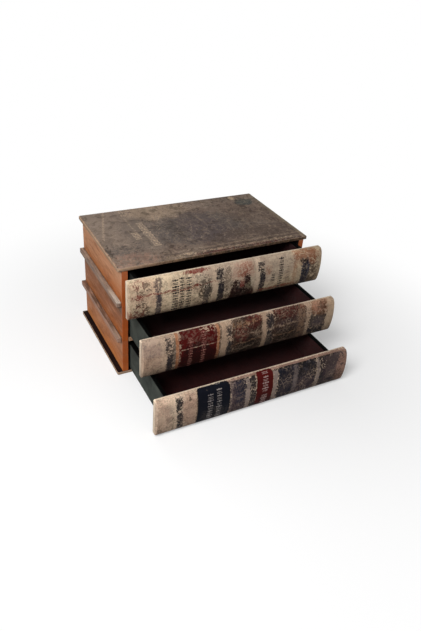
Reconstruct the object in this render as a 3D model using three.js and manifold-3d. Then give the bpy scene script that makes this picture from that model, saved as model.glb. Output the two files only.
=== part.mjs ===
// A keepsake box in the shape of three books lying flat on each other, with a drawer in each book.
// Millimetres. +X runs along the spines, -Y is the spine side where the drawers open, +Z is up.
// The origin is the centre of the underside of the lowest cover.

import * as THREE from 'three';
import { mergeVertices } from 'three/addons/utils/BufferGeometryUtils.js';
import Module from 'manifold-3d';

const wasm = await Module();
wasm.setup();

// The books
const bookLength = 300;
const coverDepth = 174;
const bookPitch = 59;
const drawerNames = ['bottom', 'middle', 'top'];
const dividerLevels = [['lower', 1], ['upper', 2]];

// The covers of the lowest and the uppermost book
const coverThickness = 4.5;
const coverOverhang = 5.8;
const lowestCoverOverhang = 8.2;
const coverCornerRadius = 2.4;
const coverEdgeRound = 0.9;
const leatherThickness = 0.8;

// The end boards that look like page blocks, and the back
const pagePanelThickness = 8.5;
const pagePanelInset = 0.5;
const backPanelThickness = 5;

// The shelves between the books, and the ledges that carry their line round to the ends
const dividerThickness = 6.5;
const dividerRise = 4.5;
const stripThickness = 8;
const stripProjection = 6.6;
const stripSetback = 3;
const stripCornerRadius = 1.6;
const stripEdgeRound = 0.9;

// Every other board has its edges just eased
const boardEdgeRound = 0.5;

// The rounded spines
const spineEdgeThickness = 9;
const spineBulge = 5;
const spineGap = 1.5;
const spineCornerRound = 7.4;
const spineEndRound = 1;

// The drawer boxes behind them
const boxWall = 5;
const boxBottomThickness = 3;
const boxSideClearance = 4;
const boxRearClearance = 5;
const boxTopClearance = 4.75;
const liningThickness = 0.8;
const liningBelowRim = 2;

// How far each drawer stands open
const drawerPull = { bottom: 125.5, middle: 77, top: 28 };

// Countersunk wood screws
const screwLength = 12;
const screwShankRadius = 1.4;
const screwHeadRadius = 2.6;
const screwHeadHeight = 1.5;
const screwTipLength = 2.4;
const screwRecessReach = 1.5;
const screwRecessWidth = 0.7;
const screwRecessDepth = 0.8;
const screwEndDistance = 24;
const backScrewColumns = 3;

// Clearances
const glueLine = 0.3;
const runningGap = 0.3;
const closedGap = 0.4;
const screwClearance = 0.3;

// Facets
const cornerSteps = 2;
const edgeSteps = 2;
const spineSteps = 5;
const screwSides = 12;
const weldDistance = 1e-4;
const cutMargin = 1;

// Places that follow from the sizes
const stackHeight = drawerNames.length * bookPitch;
const frontPlane = -coverDepth / 2;
const backPlane = coverDepth / 2;
const panelOuterX = bookLength / 2 - coverOverhang;
const panelInnerX = panelOuterX - pagePanelThickness;
const panelDepth = coverDepth - 2 * pagePanelInset;
const panelBottom = coverThickness + glueLine;
const panelTop = stackHeight - coverThickness - glueLine;
const wrapThickness = leatherThickness + glueLine;
const backPanelInnerY = backPlane - pagePanelInset - backPanelThickness;
const dividerFrontY = frontPlane + pagePanelInset;
const dividerBackY = backPanelInnerY - glueLine;

function dividerTop(level) {
  return level * bookPitch + dividerRise;
}

function bayFloor(level) {
  return level === 0 ? coverThickness : dividerTop(level);
}

function bayCeiling(level) {
  const isTop = level === drawerNames.length - 1;
  return isTop ? stackHeight - coverThickness : dividerTop(level + 1) - dividerThickness;
}

const bayHeights = drawerNames.map((name, level) => bayCeiling(level) - bayFloor(level));
const spineHeight = bookPitch - spineGap;
const spineBackY = frontPlane - closedGap;
const boxFrontY = spineBackY + glueLine;
const boxBackY = backPanelInnerY - boxRearClearance;
const boxLength = boxBackY - boxFrontY;
const boxOuterX = panelInnerX - boxSideClearance;
const boxInnerX = boxOuterX - boxWall;
const boxHeight = Math.min(...bayHeights) - runningGap - boxTopClearance;
const boxInnerLength = boxLength - 2 * boxWall;
const boxMiddleY = (boxFrontY + boxBackY) / 2;

// Materials, one maker for each finish
function finish(color, roughness, metalness = 0) {
  return new THREE.MeshStandardMaterial({ color, roughness, metalness });
}

const finishes = {
  coverLeather: () => finish(0x6f6257, 0.62),
  coverBoard: () => finish(0xb79b78, 0.85),
  pages: () => finish(0xa2653d, 0.7),
  strip: () => finish(0x7d6653, 0.65),
  shelf: () => finish(0xb89c78, 0.8),
  back: () => finish(0x54463a, 0.75),
  spineCore: () => finish(0xa98258, 0.8),
  bottomSpine: () => finish(0x6d5f61, 0.6),
  middleSpine: () => finish(0x86705f, 0.6),
  topSpine: () => finish(0xb59f82, 0.6),
  boxBoard: () => finish(0x23282a, 0.75),
  lining: () => finish(0x3a1517, 0.95),
  screw: () => finish(0x8c8a84, 0.35, 0.9),
};

// Outlines and solids

function rectangle(width, depth, cornerRadius = 0) {
  const x = width / 2;
  const y = depth / 2;
  const r = cornerRadius;
  const outline = new THREE.Shape();
  if (r === 0) {
    outline.moveTo(-x, -y);
    outline.lineTo(x, -y);
    outline.lineTo(x, y);
    outline.lineTo(-x, y);
    outline.closePath();
    return outline;
  }
  outline.absarc(x - r, r - y, r, -Math.PI / 2, 0);
  outline.absarc(x - r, y - r, r, 0, Math.PI / 2);
  outline.absarc(r - x, y - r, r, Math.PI / 2, Math.PI);
  outline.absarc(r - x, r - y, r, Math.PI, 1.5 * Math.PI);
  outline.closePath();
  return outline;
}

// A flat board, centred on the origin, with its upper and lower edges rounded over
function board(width, depth, thickness, edgeRound, cornerRadius = 0) {
  const geometry = new THREE.ExtrudeGeometry(rectangle(width, depth, cornerRadius), {
    depth: thickness - 2 * edgeRound,
    bevelThickness: edgeRound,
    bevelSize: edgeRound,
    bevelOffset: -edgeRound,
    bevelSegments: edgeSteps,
    curveSegments: cornerSteps,
  });
  geometry.translate(0, 0, edgeRound - thickness / 2);
  return geometry;
}

// A square-edged block between two corners
function block(low, high) {
  const size = high.map((value, axis) => value - low[axis]);
  const geometry = new THREE.BoxGeometry(...size);
  geometry.translate(...low.map((value, axis) => value + size[axis] / 2));
  return geometry;
}

function toSolid(geometry) {
  const bare = geometry.clone();
  bare.deleteAttribute('normal');
  bare.deleteAttribute('uv');
  const merged = mergeVertices(bare, weldDistance);
  return new wasm.Manifold(new wasm.Mesh({
    numProp: 3,
    vertProperties: merged.attributes.position.array,
    triVerts: new Uint32Array(merged.index.array),
  }));
}

function toGeometry(solid) {
  const mesh = solid.getMesh();
  const geometry = new THREE.BufferGeometry();
  geometry.setAttribute('position', new THREE.BufferAttribute(mesh.vertProperties, 3));
  geometry.setIndex(new THREE.BufferAttribute(mesh.triVerts, 1));
  geometry.computeVertexNormals();
  return geometry;
}

function cut(geometry, tools) {
  let solid = toSolid(geometry);
  for (const tool of tools) {
    solid = solid.subtract(toSolid(tool));
  }
  return toGeometry(solid);
}

// The section of a spine: flat back at zero, arched front, seen from the end.
// A positive inset gives the same section that much smaller on its front, top and bottom.
// The corners' rounding leaves a flat rim at the back, wider than the ends' own rounding.
function spineOutline(inset) {
  const halfHeight = spineHeight / 2;
  const archRadius = (halfHeight ** 2 + spineBulge ** 2) / (2 * spineBulge);
  const archCentre = spineEdgeThickness + spineBulge - archRadius;
  const radius = archRadius - inset;
  const half = halfHeight - inset;
  const edge = archCentre + Math.sqrt(radius ** 2 - half ** 2);
  const widestRound = spineEdgeThickness - spineEndRound - glueLine;
  const round = Math.max(Math.min(spineCornerRound, widestRound) - inset, glueLine);
  const archAngle = Math.asin((half - round) / radius);
  const outline = new THREE.Shape();
  outline.moveTo(0, -half);
  outline.lineTo(edge - round, -half);
  outline.quadraticCurveTo(edge, -half, archCentre + radius * Math.cos(archAngle), round - half);
  outline.absarc(archCentre, 0, radius, -archAngle, archAngle);
  outline.quadraticCurveTo(edge, half, edge - round, half);
  outline.lineTo(0, half);
  outline.closePath();
  return outline;
}

// A spine-shaped bar of a given length, its back at y = 0 and its arch towards -y
function spineBar(length, inset, endRound) {
  const geometry = new THREE.ExtrudeGeometry(spineOutline(inset), {
    depth: length - 2 * endRound,
    bevelEnabled: endRound > 0,
    bevelThickness: endRound,
    bevelSize: endRound,
    bevelOffset: -endRound,
    bevelSegments: edgeSteps,
    curveSegments: spineSteps,
  });
  geometry.translate(0, 0, endRound - length / 2);
  const turn = new THREE.Matrix4().makeBasis(
    new THREE.Vector3(0, -1, 0),
    new THREE.Vector3(0, 0, 1),
    new THREE.Vector3(-1, 0, 0),
  );
  return geometry.applyMatrix4(turn);
}

// Screws: the head's face is at y = 0 and the point towards -y

function turned(profile) {
  const points = profile.map(([radius, height]) => new THREE.Vector2(radius, height));
  return new THREE.LatheGeometry(points, screwSides);
}

function screw() {
  const body = turned([
    [0, -screwLength],
    [screwShankRadius, screwTipLength - screwLength],
    [screwShankRadius, -screwHeadHeight],
    [screwHeadRadius, 0],
    [0, 0],
  ]);
  const half = screwRecessWidth / 2;
  const arms = [[screwRecessReach, half], [half, screwRecessReach]].map(([x, z]) =>
    block([-x, -screwRecessDepth, -z], [x, cutMargin, z]));
  return cut(body, arms);
}

function screwHole() {
  const wide = screwHeadRadius + screwClearance;
  const narrow = screwShankRadius + screwClearance;
  return turned([
    [0, -screwLength - screwClearance],
    [narrow, -screwLength - screwClearance],
    [narrow, -screwHeadHeight - screwClearance],
    [wide, -screwClearance],
    [wide, cutMargin],
    [0, cutMargin],
  ]);
}

function placed(geometry, [x, y, z]) {
  return geometry.clone().translate(x, y, z);
}

// Named pieces

function piece(name, geometry, material, position = [0, 0, 0]) {
  const mesh = new THREE.Mesh(geometry, material);
  mesh.name = name;
  mesh.position.set(...position);
  return mesh;
}

// The wrap of a cover is a shallow tray round its board, open on the board's inner side
function coverWrap(length) {
  const wrap = board(length, coverDepth, coverThickness, coverEdgeRound, coverCornerRadius);
  const x = length / 2 - leatherThickness;
  const y = coverDepth / 2 - leatherThickness;
  const z = coverThickness / 2;
  return cut(wrap, [block([-x, -y, -z - cutMargin], [x, y, z - leatherThickness])]);
}

function coverBoard(length) {
  const width = length - 2 * wrapThickness;
  const depth = coverDepth - 2 * wrapThickness;
  const thickness = coverThickness - wrapThickness;
  const geometry = board(width, depth, thickness, boardEdgeRound);
  return geometry.translate(0, 0, (thickness - coverThickness) / 2);
}

function addCover(group, name, length, height, turn) {
  const cover = new THREE.Group();
  cover.position.z = height;
  cover.rotation.x = turn;
  cover.add(piece(`${name}_cover_board`, coverBoard(length), finishes.coverBoard()));
  cover.add(piece(`${name}_cover_leather`, coverWrap(length), finishes.coverLeather()));
  group.add(cover);
}

function addPagePanels(group) {
  const height = panelTop - panelBottom;
  for (const [side, sign] of [['left', -1], ['right', 1]]) {
    const geometry = board(pagePanelThickness, panelDepth, height, boardEdgeRound);
    const x = sign * (panelOuterX - pagePanelThickness / 2);
    group.add(piece(`${side}_page_panel`, geometry, finishes.pages(), [x, 0, panelBottom + height / 2]));
  }
}

function addStrips(group, levelName, level) {
  const length = coverDepth - stripSetback - pagePanelInset;
  const y = (stripSetback - pagePanelInset) / 2;
  const z = dividerTop(level) - dividerThickness / 2;
  for (const [side, sign] of [['left', -1], ['right', 1]]) {
    const width = stripProjection - glueLine;
    const geometry = board(width, length, stripThickness, stripEdgeRound, stripCornerRadius);
    const x = sign * (panelOuterX + glueLine + width / 2);
    group.add(piece(`${side}_${levelName}_strip`, geometry, finishes.strip(), [x, y, z]));
  }
}

function addScrews(group, name, places) {
  places.forEach(([x, faceY, z], index) => {
    const position = [x, faceY - screwClearance, z];
    group.add(piece(`${name}_screw_${index + 1}`, screw(), finishes.screw(), position));
  });
}

function screwHolesAt(places) {
  return places.map((place) => placed(screwHole(), place));
}

// Where the back panel is screwed to the middle of a divider's rear edge
function backScrewPlaces(level) {
  const reach = panelInnerX - screwEndDistance;
  return Array.from({ length: backScrewColumns }, (unused, column) => [
    -reach + (2 * reach * column) / (backScrewColumns - 1),
    backPlane - pagePanelInset,
    dividerTop(level) - dividerThickness / 2,
  ]);
}

function addDivider(group, levelName, level) {
  const width = 2 * (panelInnerX - glueLine);
  const depth = dividerBackY - dividerFrontY;
  const z = dividerTop(level) - dividerThickness / 2;
  const y = dividerFrontY + depth / 2;
  const geometry = board(width, depth, dividerThickness, boardEdgeRound).translate(0, y, z);
  const places = backScrewPlaces(level);
  group.add(piece(`${levelName}_divider`, cut(geometry, screwHolesAt(places)), finishes.shelf()));
  addScrews(group, `${levelName}_back`, places);
}

function addBackPanel(group) {
  const height = panelTop - panelBottom;
  const width = 2 * (panelInnerX - glueLine);
  const y = backPanelInnerY + backPanelThickness / 2;
  const geometry = board(width, backPanelThickness, height, boardEdgeRound);
  geometry.translate(0, y, panelBottom + height / 2);
  const places = dividerLevels.flatMap(([, level]) => backScrewPlaces(level));
  group.add(piece('back_panel', cut(geometry, screwHolesAt(places)), finishes.back()));
}

function carcass() {
  const group = new THREE.Group();
  addCover(group, 'top', bookLength, stackHeight - coverThickness / 2, 0);
  addCover(group, 'bottom', 2 * (panelOuterX + lowestCoverOverhang), coverThickness / 2, Math.PI);
  addPagePanels(group);
  addBackPanel(group);
  for (const [levelName, level] of dividerLevels) {
    addDivider(group, levelName, level);
    addStrips(group, levelName, level);
  }
  return group;
}

// One drawer, drawn closed and then slid out

function frontScrewPlaces(middleZ) {
  const reach = boxInnerX - screwEndDistance;
  return [-reach, reach].map((x) => [x, boxFrontY + boxWall, middleZ]);
}

function addSpine(group, name, level, holes) {
  const z = (level + 0.5) * bookPitch;
  const wrap = spineBar(bookLength, 0, spineEndRound).translate(0, spineBackY, z);
  const hollow = spineBar(bookLength - 2 * leatherThickness, leatherThickness, 0);
  const opening = block(
    [-bookLength / 2 + leatherThickness, -leatherThickness, leatherThickness - spineHeight / 2],
    [bookLength / 2 - leatherThickness, cutMargin, spineHeight / 2 - leatherThickness],
  );
  const tools = [hollow, opening].map((tool) => placed(tool, [0, spineBackY, z]));
  const core = spineBar(bookLength - 2 * wrapThickness, wrapThickness, 0).translate(0, spineBackY, z);
  group.add(piece(`${name}_spine_core`, cut(core, holes), finishes.spineCore()));
  group.add(piece(`${name}_spine_leather`, cut(wrap, tools), finishes[`${name}Spine`]()));
}

function addBox(group, name, boxBottomZ, holes) {
  const middleZ = boxBottomZ + boxHeight / 2;
  for (const [side, sign] of [['left', -1], ['right', 1]]) {
    const geometry = board(boxWall, boxLength, boxHeight, boardEdgeRound);
    const x = sign * (boxOuterX - boxWall / 2);
    group.add(piece(`${name}_box_${side}_side`, geometry, finishes.boxBoard(), [x, boxMiddleY, middleZ]));
  }
  const width = 2 * (boxInnerX - glueLine);
  const end = board(width, boxWall, boxHeight, boardEdgeRound);
  const front = placed(end, [0, boxFrontY + boxWall / 2, middleZ]);
  group.add(piece(`${name}_box_front`, cut(front, holes), finishes.boxBoard()));
  group.add(piece(`${name}_box_back`, end, finishes.boxBoard(), [0, boxBackY - boxWall / 2, middleZ]));
  const floor = board(width, boxInnerLength - 2 * glueLine, boxBottomThickness, boardEdgeRound);
  const floorZ = boxBottomZ + boxBottomThickness / 2;
  group.add(piece(`${name}_box_bottom`, floor, finishes.boxBoard(), [0, boxMiddleY, floorZ]));
}

function addLining(group, name, boxBottomZ) {
  const width = 2 * (boxInnerX - glueLine);
  const depth = boxInnerLength - 2 * glueLine;
  const sheetBottom = boxBottomZ + boxBottomThickness + glueLine;
  const sheet = block(
    [-width / 2, boxMiddleY - depth / 2, sheetBottom],
    [width / 2, boxMiddleY + depth / 2, sheetBottom + liningThickness],
  );
  group.add(piece(`${name}_floor_lining`, sheet, finishes.lining()));
  const band = rectangle(width, depth);
  band.holes.push(rectangle(width - 2 * liningThickness, depth - 2 * liningThickness));
  const bandBottom = sheetBottom + liningThickness + glueLine;
  const bandTop = boxBottomZ + boxHeight - liningBelowRim;
  const ring = new THREE.ExtrudeGeometry(band, { depth: bandTop - bandBottom, bevelEnabled: false });
  group.add(piece(`${name}_wall_lining`, ring, finishes.lining(), [0, boxMiddleY, bandBottom]));
}

function drawer(name, level) {
  const group = new THREE.Group();
  const boxBottomZ = bayFloor(level) + runningGap;
  const places = frontScrewPlaces(boxBottomZ + boxHeight / 2);
  const holes = screwHolesAt(places);
  addSpine(group, name, level, holes);
  addBox(group, name, boxBottomZ, holes);
  addLining(group, name, boxBottomZ);
  addScrews(group, `${name}_front`, places);
  group.position.y = -drawerPull[name];
  return group;
}

const group = new THREE.Group();
group.add(carcass());
drawerNames.forEach((name, level) => group.add(drawer(name, level)));

export default group;
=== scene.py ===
import math

import bmesh
import bpy
from mathutils import Matrix, Vector


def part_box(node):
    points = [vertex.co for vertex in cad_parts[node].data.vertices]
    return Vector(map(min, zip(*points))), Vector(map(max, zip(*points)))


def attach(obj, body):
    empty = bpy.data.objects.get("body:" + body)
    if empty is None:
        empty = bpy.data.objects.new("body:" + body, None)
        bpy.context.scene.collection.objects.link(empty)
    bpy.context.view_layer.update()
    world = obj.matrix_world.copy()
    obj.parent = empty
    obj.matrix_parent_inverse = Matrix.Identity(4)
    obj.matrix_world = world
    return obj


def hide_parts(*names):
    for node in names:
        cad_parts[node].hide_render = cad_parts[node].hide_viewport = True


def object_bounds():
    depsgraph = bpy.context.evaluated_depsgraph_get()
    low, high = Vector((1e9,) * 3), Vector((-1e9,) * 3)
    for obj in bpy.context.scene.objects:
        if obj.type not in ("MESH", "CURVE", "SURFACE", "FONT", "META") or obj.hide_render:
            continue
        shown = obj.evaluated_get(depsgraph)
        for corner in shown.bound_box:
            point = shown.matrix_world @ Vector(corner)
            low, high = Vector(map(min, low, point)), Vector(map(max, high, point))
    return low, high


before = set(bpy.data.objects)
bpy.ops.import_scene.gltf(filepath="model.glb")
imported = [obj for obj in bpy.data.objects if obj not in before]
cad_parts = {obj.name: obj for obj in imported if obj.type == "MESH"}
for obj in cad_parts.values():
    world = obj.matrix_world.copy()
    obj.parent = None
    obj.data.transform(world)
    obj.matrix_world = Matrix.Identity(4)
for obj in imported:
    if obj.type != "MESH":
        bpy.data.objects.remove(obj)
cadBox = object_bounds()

# A keepsake box made like three old books in a stack, with a drawer behind each spine.
# X runs along the spines, -Y is the drawers' side, Z is up, and the unit is the metre.

mm = 0.001
drawerNames = ["bottom", "middle", "top"]


# Colours, as a maker would mix them (sRGB hex)

inks = {
    "cream": "c9ae95", "paleCream": "dbc2a9", "parchment": "b1957d", "pink": "b58d7a", "bone": "e6d3bb",
    "tan": "a98264", "paleTan": "bba389", "orangeTan": "a56a47", "oliveTan": "827560", "rust": "8a4a30",
    "oxblood": "6e231f", "darkRed": "4a1210", "maroon": "240e0f", "redBark": "33211c", "redUmber": "3a251e",
    "taupe": "857568", "brownGrey": "65544a", "umber": "4b3c33", "bark": "33271f", "darkUmber": "281d18",
    "lilac": "97867e", "purpleGrey": "54474a", "mulberry": "3d3136", "plum": "4e4345", "slate": "4b4542",
    "inkBlue": "222a3e", "blueGrey": "292b39", "navy": "12141f", "teal": "2d3634", "ash": "37322f",
    "black": "100d0d", "ivory": "ddc8a8", "sand": "bda286", "smoke": "302c34", "peat": "3e3431",
    "labelBlack": "0c0e16", "rimDark": "3a2b22", "rimWorn": "80654e", "rimPale": "a98b72",
}


def colour(name):
    code = inks.get(name, name)
    parts = [int(code[i:i + 2], 16) / 255 for i in (0, 2, 4)]
    return tuple(p / 12.92 if p <= 0.04045 else ((p + 0.055) / 1.055) ** 2.4 for p in parts) + (1.0,)


# Node trees are written as formulas: a Value is a node's output that adds and multiplies like a number

class Value:
    def __init__(self, graph, socket):
        self.socket = socket
        self.work = graph.vector if socket.type in ("VECTOR", "RGBA") else graph.math

    def __add__(self, other):
        return self.work("ADD", self, other)

    def __sub__(self, other):
        return self.work("SUBTRACT", self, other)

    def __rsub__(self, other):
        return self.work("SUBTRACT", other, self)

    def __mul__(self, other):
        return self.work("MULTIPLY", self, other)

    def __truediv__(self, other):
        return self.work("DIVIDE", self, other)

    def __rtruediv__(self, other):
        return self.work("DIVIDE", other, self)

    def __pow__(self, other):
        return self.work("POWER", self, other)

    def __abs__(self):
        return self.work("ABSOLUTE", self)


class Graph:
    # serves shader trees and geometry trees alike
    def __init__(self, tree):
        self.tree = tree

    def node(self, kind, inputs=(), **settings):
        made = self.tree.nodes.new(kind)
        for name, value in settings.items():
            setattr(made, name, value)
        for key, value in dict(inputs).items():
            if isinstance(value, Value):
                self.tree.links.new(value.socket, made.inputs[key])
            else:
                made.inputs[key].default_value = value
        return made

    def value(self, kind, inputs=(), key=0, **settings):
        return Value(self, self.node(kind, inputs, **settings).outputs[key])

    def inputs(self, kinds):
        for name, kind in kinds.items():
            self.tree.interface.new_socket(name, in_out="INPUT", socket_type="NodeSocket" + kind)
        given = self.node("NodeGroupInput").outputs
        return {name: Value(self, given[name]) for name in kinds}

    def output(self, name, kind, value):
        self.tree.interface.new_socket(name, in_out="OUTPUT", socket_type="NodeSocket" + kind)
        self.node("NodeGroupOutput", {0: value})
        return self.tree

    def gather(self, kind, parts):
        # for a node whose one socket takes many links
        made = self.node(kind)
        for part in parts:
            self.tree.links.new(part.socket, made.inputs[0])
        return Value(self, made.outputs[0])

    def math(self, operation, *given):
        return self.value("ShaderNodeMath", enumerate(given), operation=operation)

    def vector(self, operation, *given):
        given = [(value,) * 3 if isinstance(value, float) else value for value in given]
        return self.value("ShaderNodeVectorMath", enumerate(given), operation=operation)

    def combine(self, x=0.0, y=0.0, z=0.0):
        return self.value("ShaderNodeCombineXYZ", {0: x, 1: y, 2: z})

    def separate(self, vector):
        made = self.node("ShaderNodeSeparateXYZ", {0: vector})
        return [Value(self, socket) for socket in made.outputs]

    def ramp(self, value, low, high, toLow=0.0, toHigh=1.0, shape="SMOOTHSTEP"):
        given = enumerate((value, low, high, toLow, toHigh))
        return self.value("ShaderNodeMapRange", given, interpolation_type=shape)

    def mix(self, factor, a, b, blend="MIX"):
        given = {0: factor, 6: a, 7: b}
        return self.value("ShaderNodeMix", given, 2, data_type="RGBA", blend_type=blend)

    def noise(self, vector, scale, detail=3.0, roughness=0.55, distortion=0.0, key=0):
        return self.value("ShaderNodeTexNoise", {
            "Vector": vector, "Scale": scale, "Detail": detail, "Roughness": roughness,
            "Distortion": distortion,
        }, key)

    def even(self, vector, *grain):
        # noise spread over 0 to 1, where plain noise keeps near a half
        return self.ramp(self.noise(vector, *grain), 0.3, 0.7, shape="LINEAR")

    def drift(self, vector, scale, detail=2.0):
        # a slowly changing offset, -1 to 1 each way
        return self.noise(vector, scale, detail, 0.5, key=1) * 2.0 - 1.0

    def cells(self, vector, scale, feature="DISTANCE_TO_EDGE"):
        return self.value("ShaderNodeTexVoronoi", {"Vector": vector, "Scale": scale}, "Distance",
                          feature=feature)

    # a finish is built up in self.base, ground first

    def ground(self, mask, first, second):
        self.base = self.mix(mask, colour(first), colour(second))

    def tint(self, ink, amount):
        self.base = self.mix(amount, self.base, colour(ink) if isinstance(ink, str) else ink)

    def layer(self, ink, mask, low, high, most=1.0):
        # bare where the mask is at low, covered where it is at high
        self.tint(ink, self.ramp(mask, low, high, 0.0, most))

    def layers(self, rows, **masks):
        for ink, mask, low, high, most in rows:
            self.layer(ink, masks[mask], low, high, most)

    def shade(self, tone):
        grey = (tone, tone, tone, 1.0) if isinstance(tone, float) else self.combine(tone, tone, tone)
        self.base = self.mix(1.0, self.base, grey, "MULTIPLY")


def materialGraph(name):
    material = bpy.data.materials.new(name)
    material.use_nodes = True
    material.node_tree.nodes.clear()
    graph = Graph(material.node_tree)
    graph.material = material
    place = graph.value("ShaderNodeTexCoord", key="Object")
    graph.place = place * (1 / mm)      # the patterns are laid out in millimetres
    return graph


def finish(graph, roughness, height, depth, specular=0.5, **sockets):
    # depth is how far the bump seems to rise, in millimetres
    bump = graph.value("ShaderNodeBump", {"Height": height, "Distance": depth * mm, "Strength": 1.0})
    shader = graph.node("ShaderNodeBsdfPrincipled", {
        "Base Color": graph.base, "Roughness": roughness, "Normal": bump, "Specular IOR Level": specular,
    })
    for name, value in sockets.items():
        shader.inputs[name.replace("_", " ")].default_value = value
    graph.node("ShaderNodeOutputMaterial", {"Surface": Value(graph, shader.outputs[0])})
    return graph.material


# Camera, floor and light

view = {        # fitted to a frame of 421 x 631 pixels
    "place": (-0.3664, -0.7113, 0.5537),
    "azimuth": -30.01,
    "elevation": 33.84,
    "roll": 5.07,
    "focalPixels": 579.7,
    "frameHeight": 631,
    "sensor": 36.0,
    "nearest": 0.05,
    "farthest": 60.0,
}


def makeCamera():
    azimuth, elevation, roll = (math.radians(view[name]) for name in ("azimuth", "elevation", "roll"))
    back = Vector((math.sin(azimuth) * math.cos(elevation),
                   -math.cos(azimuth) * math.cos(elevation),
                   math.sin(elevation)))
    right = Vector((math.cos(azimuth), math.sin(azimuth), 0))
    up = back.cross(right)
    across = math.cos(roll) * right + math.sin(roll) * up
    upward = math.cos(roll) * up - math.sin(roll) * right
    data = bpy.data.cameras.new("camera")
    data.sensor_width = view["sensor"]
    data.lens = view["focalPixels"] / view["frameHeight"] * view["sensor"]
    data.clip_start = view["nearest"]
    data.clip_end = view["farthest"]
    camera = bpy.data.objects.new("camera", data)
    turn = Matrix((across, upward, back)).transposed().to_4x4()
    camera.matrix_world = Matrix.Translation(view["place"]) @ turn
    bpy.context.scene.collection.objects.link(camera)
    bpy.context.scene.camera = camera


stage = {
    "floorRadius": 14.0,
    "floorSides": 96,
    "floorTone": 0.95,         # what the camera sees
    "floorBounce": 0.16,       # what it throws back at the object
    "roomLight": 0.16,
    "whiteNear": 0.30,         # how far the floor is taken to white beside the object
    "whiteStart": 0.16,
    "whiteEnd": 0.55,
}

lamps = {
    "keyLamp": {"place": (-0.80, -0.66, 1.05), "size": 0.6, "power": 17.0},
    "fillLamp": {"place": (-1.7, -1.2, 0.9), "size": 1.2, "power": 7.0},
    "rearLamp": {"place": (-0.2, 1.7, 1.6), "size": 1.4, "power": 8.0},
}


def isRay(graph, kind):
    return graph.value("ShaderNodeLightPath", key=f"Is {kind} Ray")


def makeRoom():
    bpy.context.scene.view_settings.view_transform = "Standard"
    world = bpy.data.worlds.new("room")
    bpy.context.scene.world = world
    world.use_nodes = True
    world.node_tree.nodes.clear()
    graph = Graph(world.node_tree)
    shown = graph.math("MAXIMUM", isRay(graph, "Camera"), isRay(graph, "Transmission"))
    shown = graph.math("MAXIMUM", shown, isRay(graph, "Glossy"))
    strength = graph.ramp(shown, 0.0, 1.0, stage["roomLight"], 1.0, shape="LINEAR")
    light = graph.value("ShaderNodeBackground", {"Color": (1, 1, 1, 1), "Strength": strength})
    graph.node("ShaderNodeOutputWorld", {"Surface": light})


def makeFloor(middle):
    graph = materialGraph("paleFloor")
    tone = graph.ramp(isRay(graph, "Diffuse"), 0.0, 1.0, stage["floorTone"], stage["floorBounce"],
                      shape="LINEAR")
    matt = graph.value("ShaderNodeBsdfDiffuse", {"Color": graph.combine(tone, tone, tone)})
    glow = graph.value("ShaderNodeEmission", {"Strength": 1.0})
    away = graph.place * mm - (middle.x, middle.y, 0.0)
    distance = graph.value("ShaderNodeVectorMath", {0: away}, "Value", operation="LENGTH")
    white = graph.ramp(distance, stage["whiteStart"], stage["whiteEnd"], stage["whiteNear"], 1.0)
    mixed = graph.value("ShaderNodeMixShader", {0: isRay(graph, "Camera") * white, 1: matt, 2: glow})
    graph.node("ShaderNodeOutputMaterial", {"Surface": mixed})
    shape = bmesh.new()
    bmesh.ops.create_circle(shape, cap_ends=True, segments=stage["floorSides"], radius=stage["floorRadius"])
    mesh = bpy.data.meshes.new("floor")
    shape.to_mesh(mesh)
    shape.free()
    mesh.materials.append(graph.material)
    floor = bpy.data.objects.new("floor", mesh)
    bpy.context.scene.collection.objects.link(floor)


def makeLamps(target):
    for name, lamp in lamps.items():
        data = bpy.data.lights.new(name, "AREA")
        data.shape = "DISK"
        data.size = lamp["size"]
        data.energy = lamp["power"]
        made = bpy.data.objects.new(name, data)
        made.location = lamp["place"]
        made.rotation_euler = (made.location - target).to_track_quat("Z", "Y").to_euler()
        bpy.context.scene.collection.objects.link(made)


makeCamera()
makeRoom()
boxMiddle = (cadBox[0] + cadBox[1]) / 2
makeFloor(boxMiddle)
makeLamps(boxMiddle)
print("camera, floor and light are set")


# Printed leather. A design is a list of patches, each a soft-edged area of one ink with a torn outline.
# Places are fractions of the surface: along from the left end, up from the lower or front edge.

def patch(ink, left, right, low, high, cover=0.8, ragged=1.2, broken=0.0, wander=1.5, power=8.0):
    return {
        "ink": ink, "centre": ((left + right) / 2, (low + high) / 2), "size": (right - left, high - low),
        "turn": 0.0, "cover": cover, "ragged": ragged, "broken": broken, "wander": wander, "power": power,
    }


def blot(ink, left, right, low, high, cover=0.7, ragged=3.0, broken=0.3, wander=4.0):
    return patch(ink, left, right, low, high, cover, ragged, broken, wander, 2.2)


printFoot = -0.15      # the print of a spine starts on its lower edge
printHead = 1.14       # and ends on its upper edge


def stripe(ink, left, right, *wear):
    # over the whole height of a spine's face, and its upper edge
    return patch(ink, left, right, 0.0, printHead, *wear)


def panel(ink, left, right, *wear):
    # over the face and both edges
    return patch(ink, left, right, printFoot, printHead, *wear)


def scratch(ink, start, end, width, size, cover, ragged, broken):
    # a long thin patch between two places on a surface of this size, its width in millimetres
    run = [(end[k] - start[k]) * size[k] for k in (0, 1)]
    made = patch(ink, 0.0, math.hypot(*run) / size[0], 0.0, width / size[1], cover, ragged, broken)
    made["centre"] = ((start[0] + end[0]) / 2, (start[1] + end[1]) / 2)
    made["turn"] = math.atan2(run[1], run[0])
    return made


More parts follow.
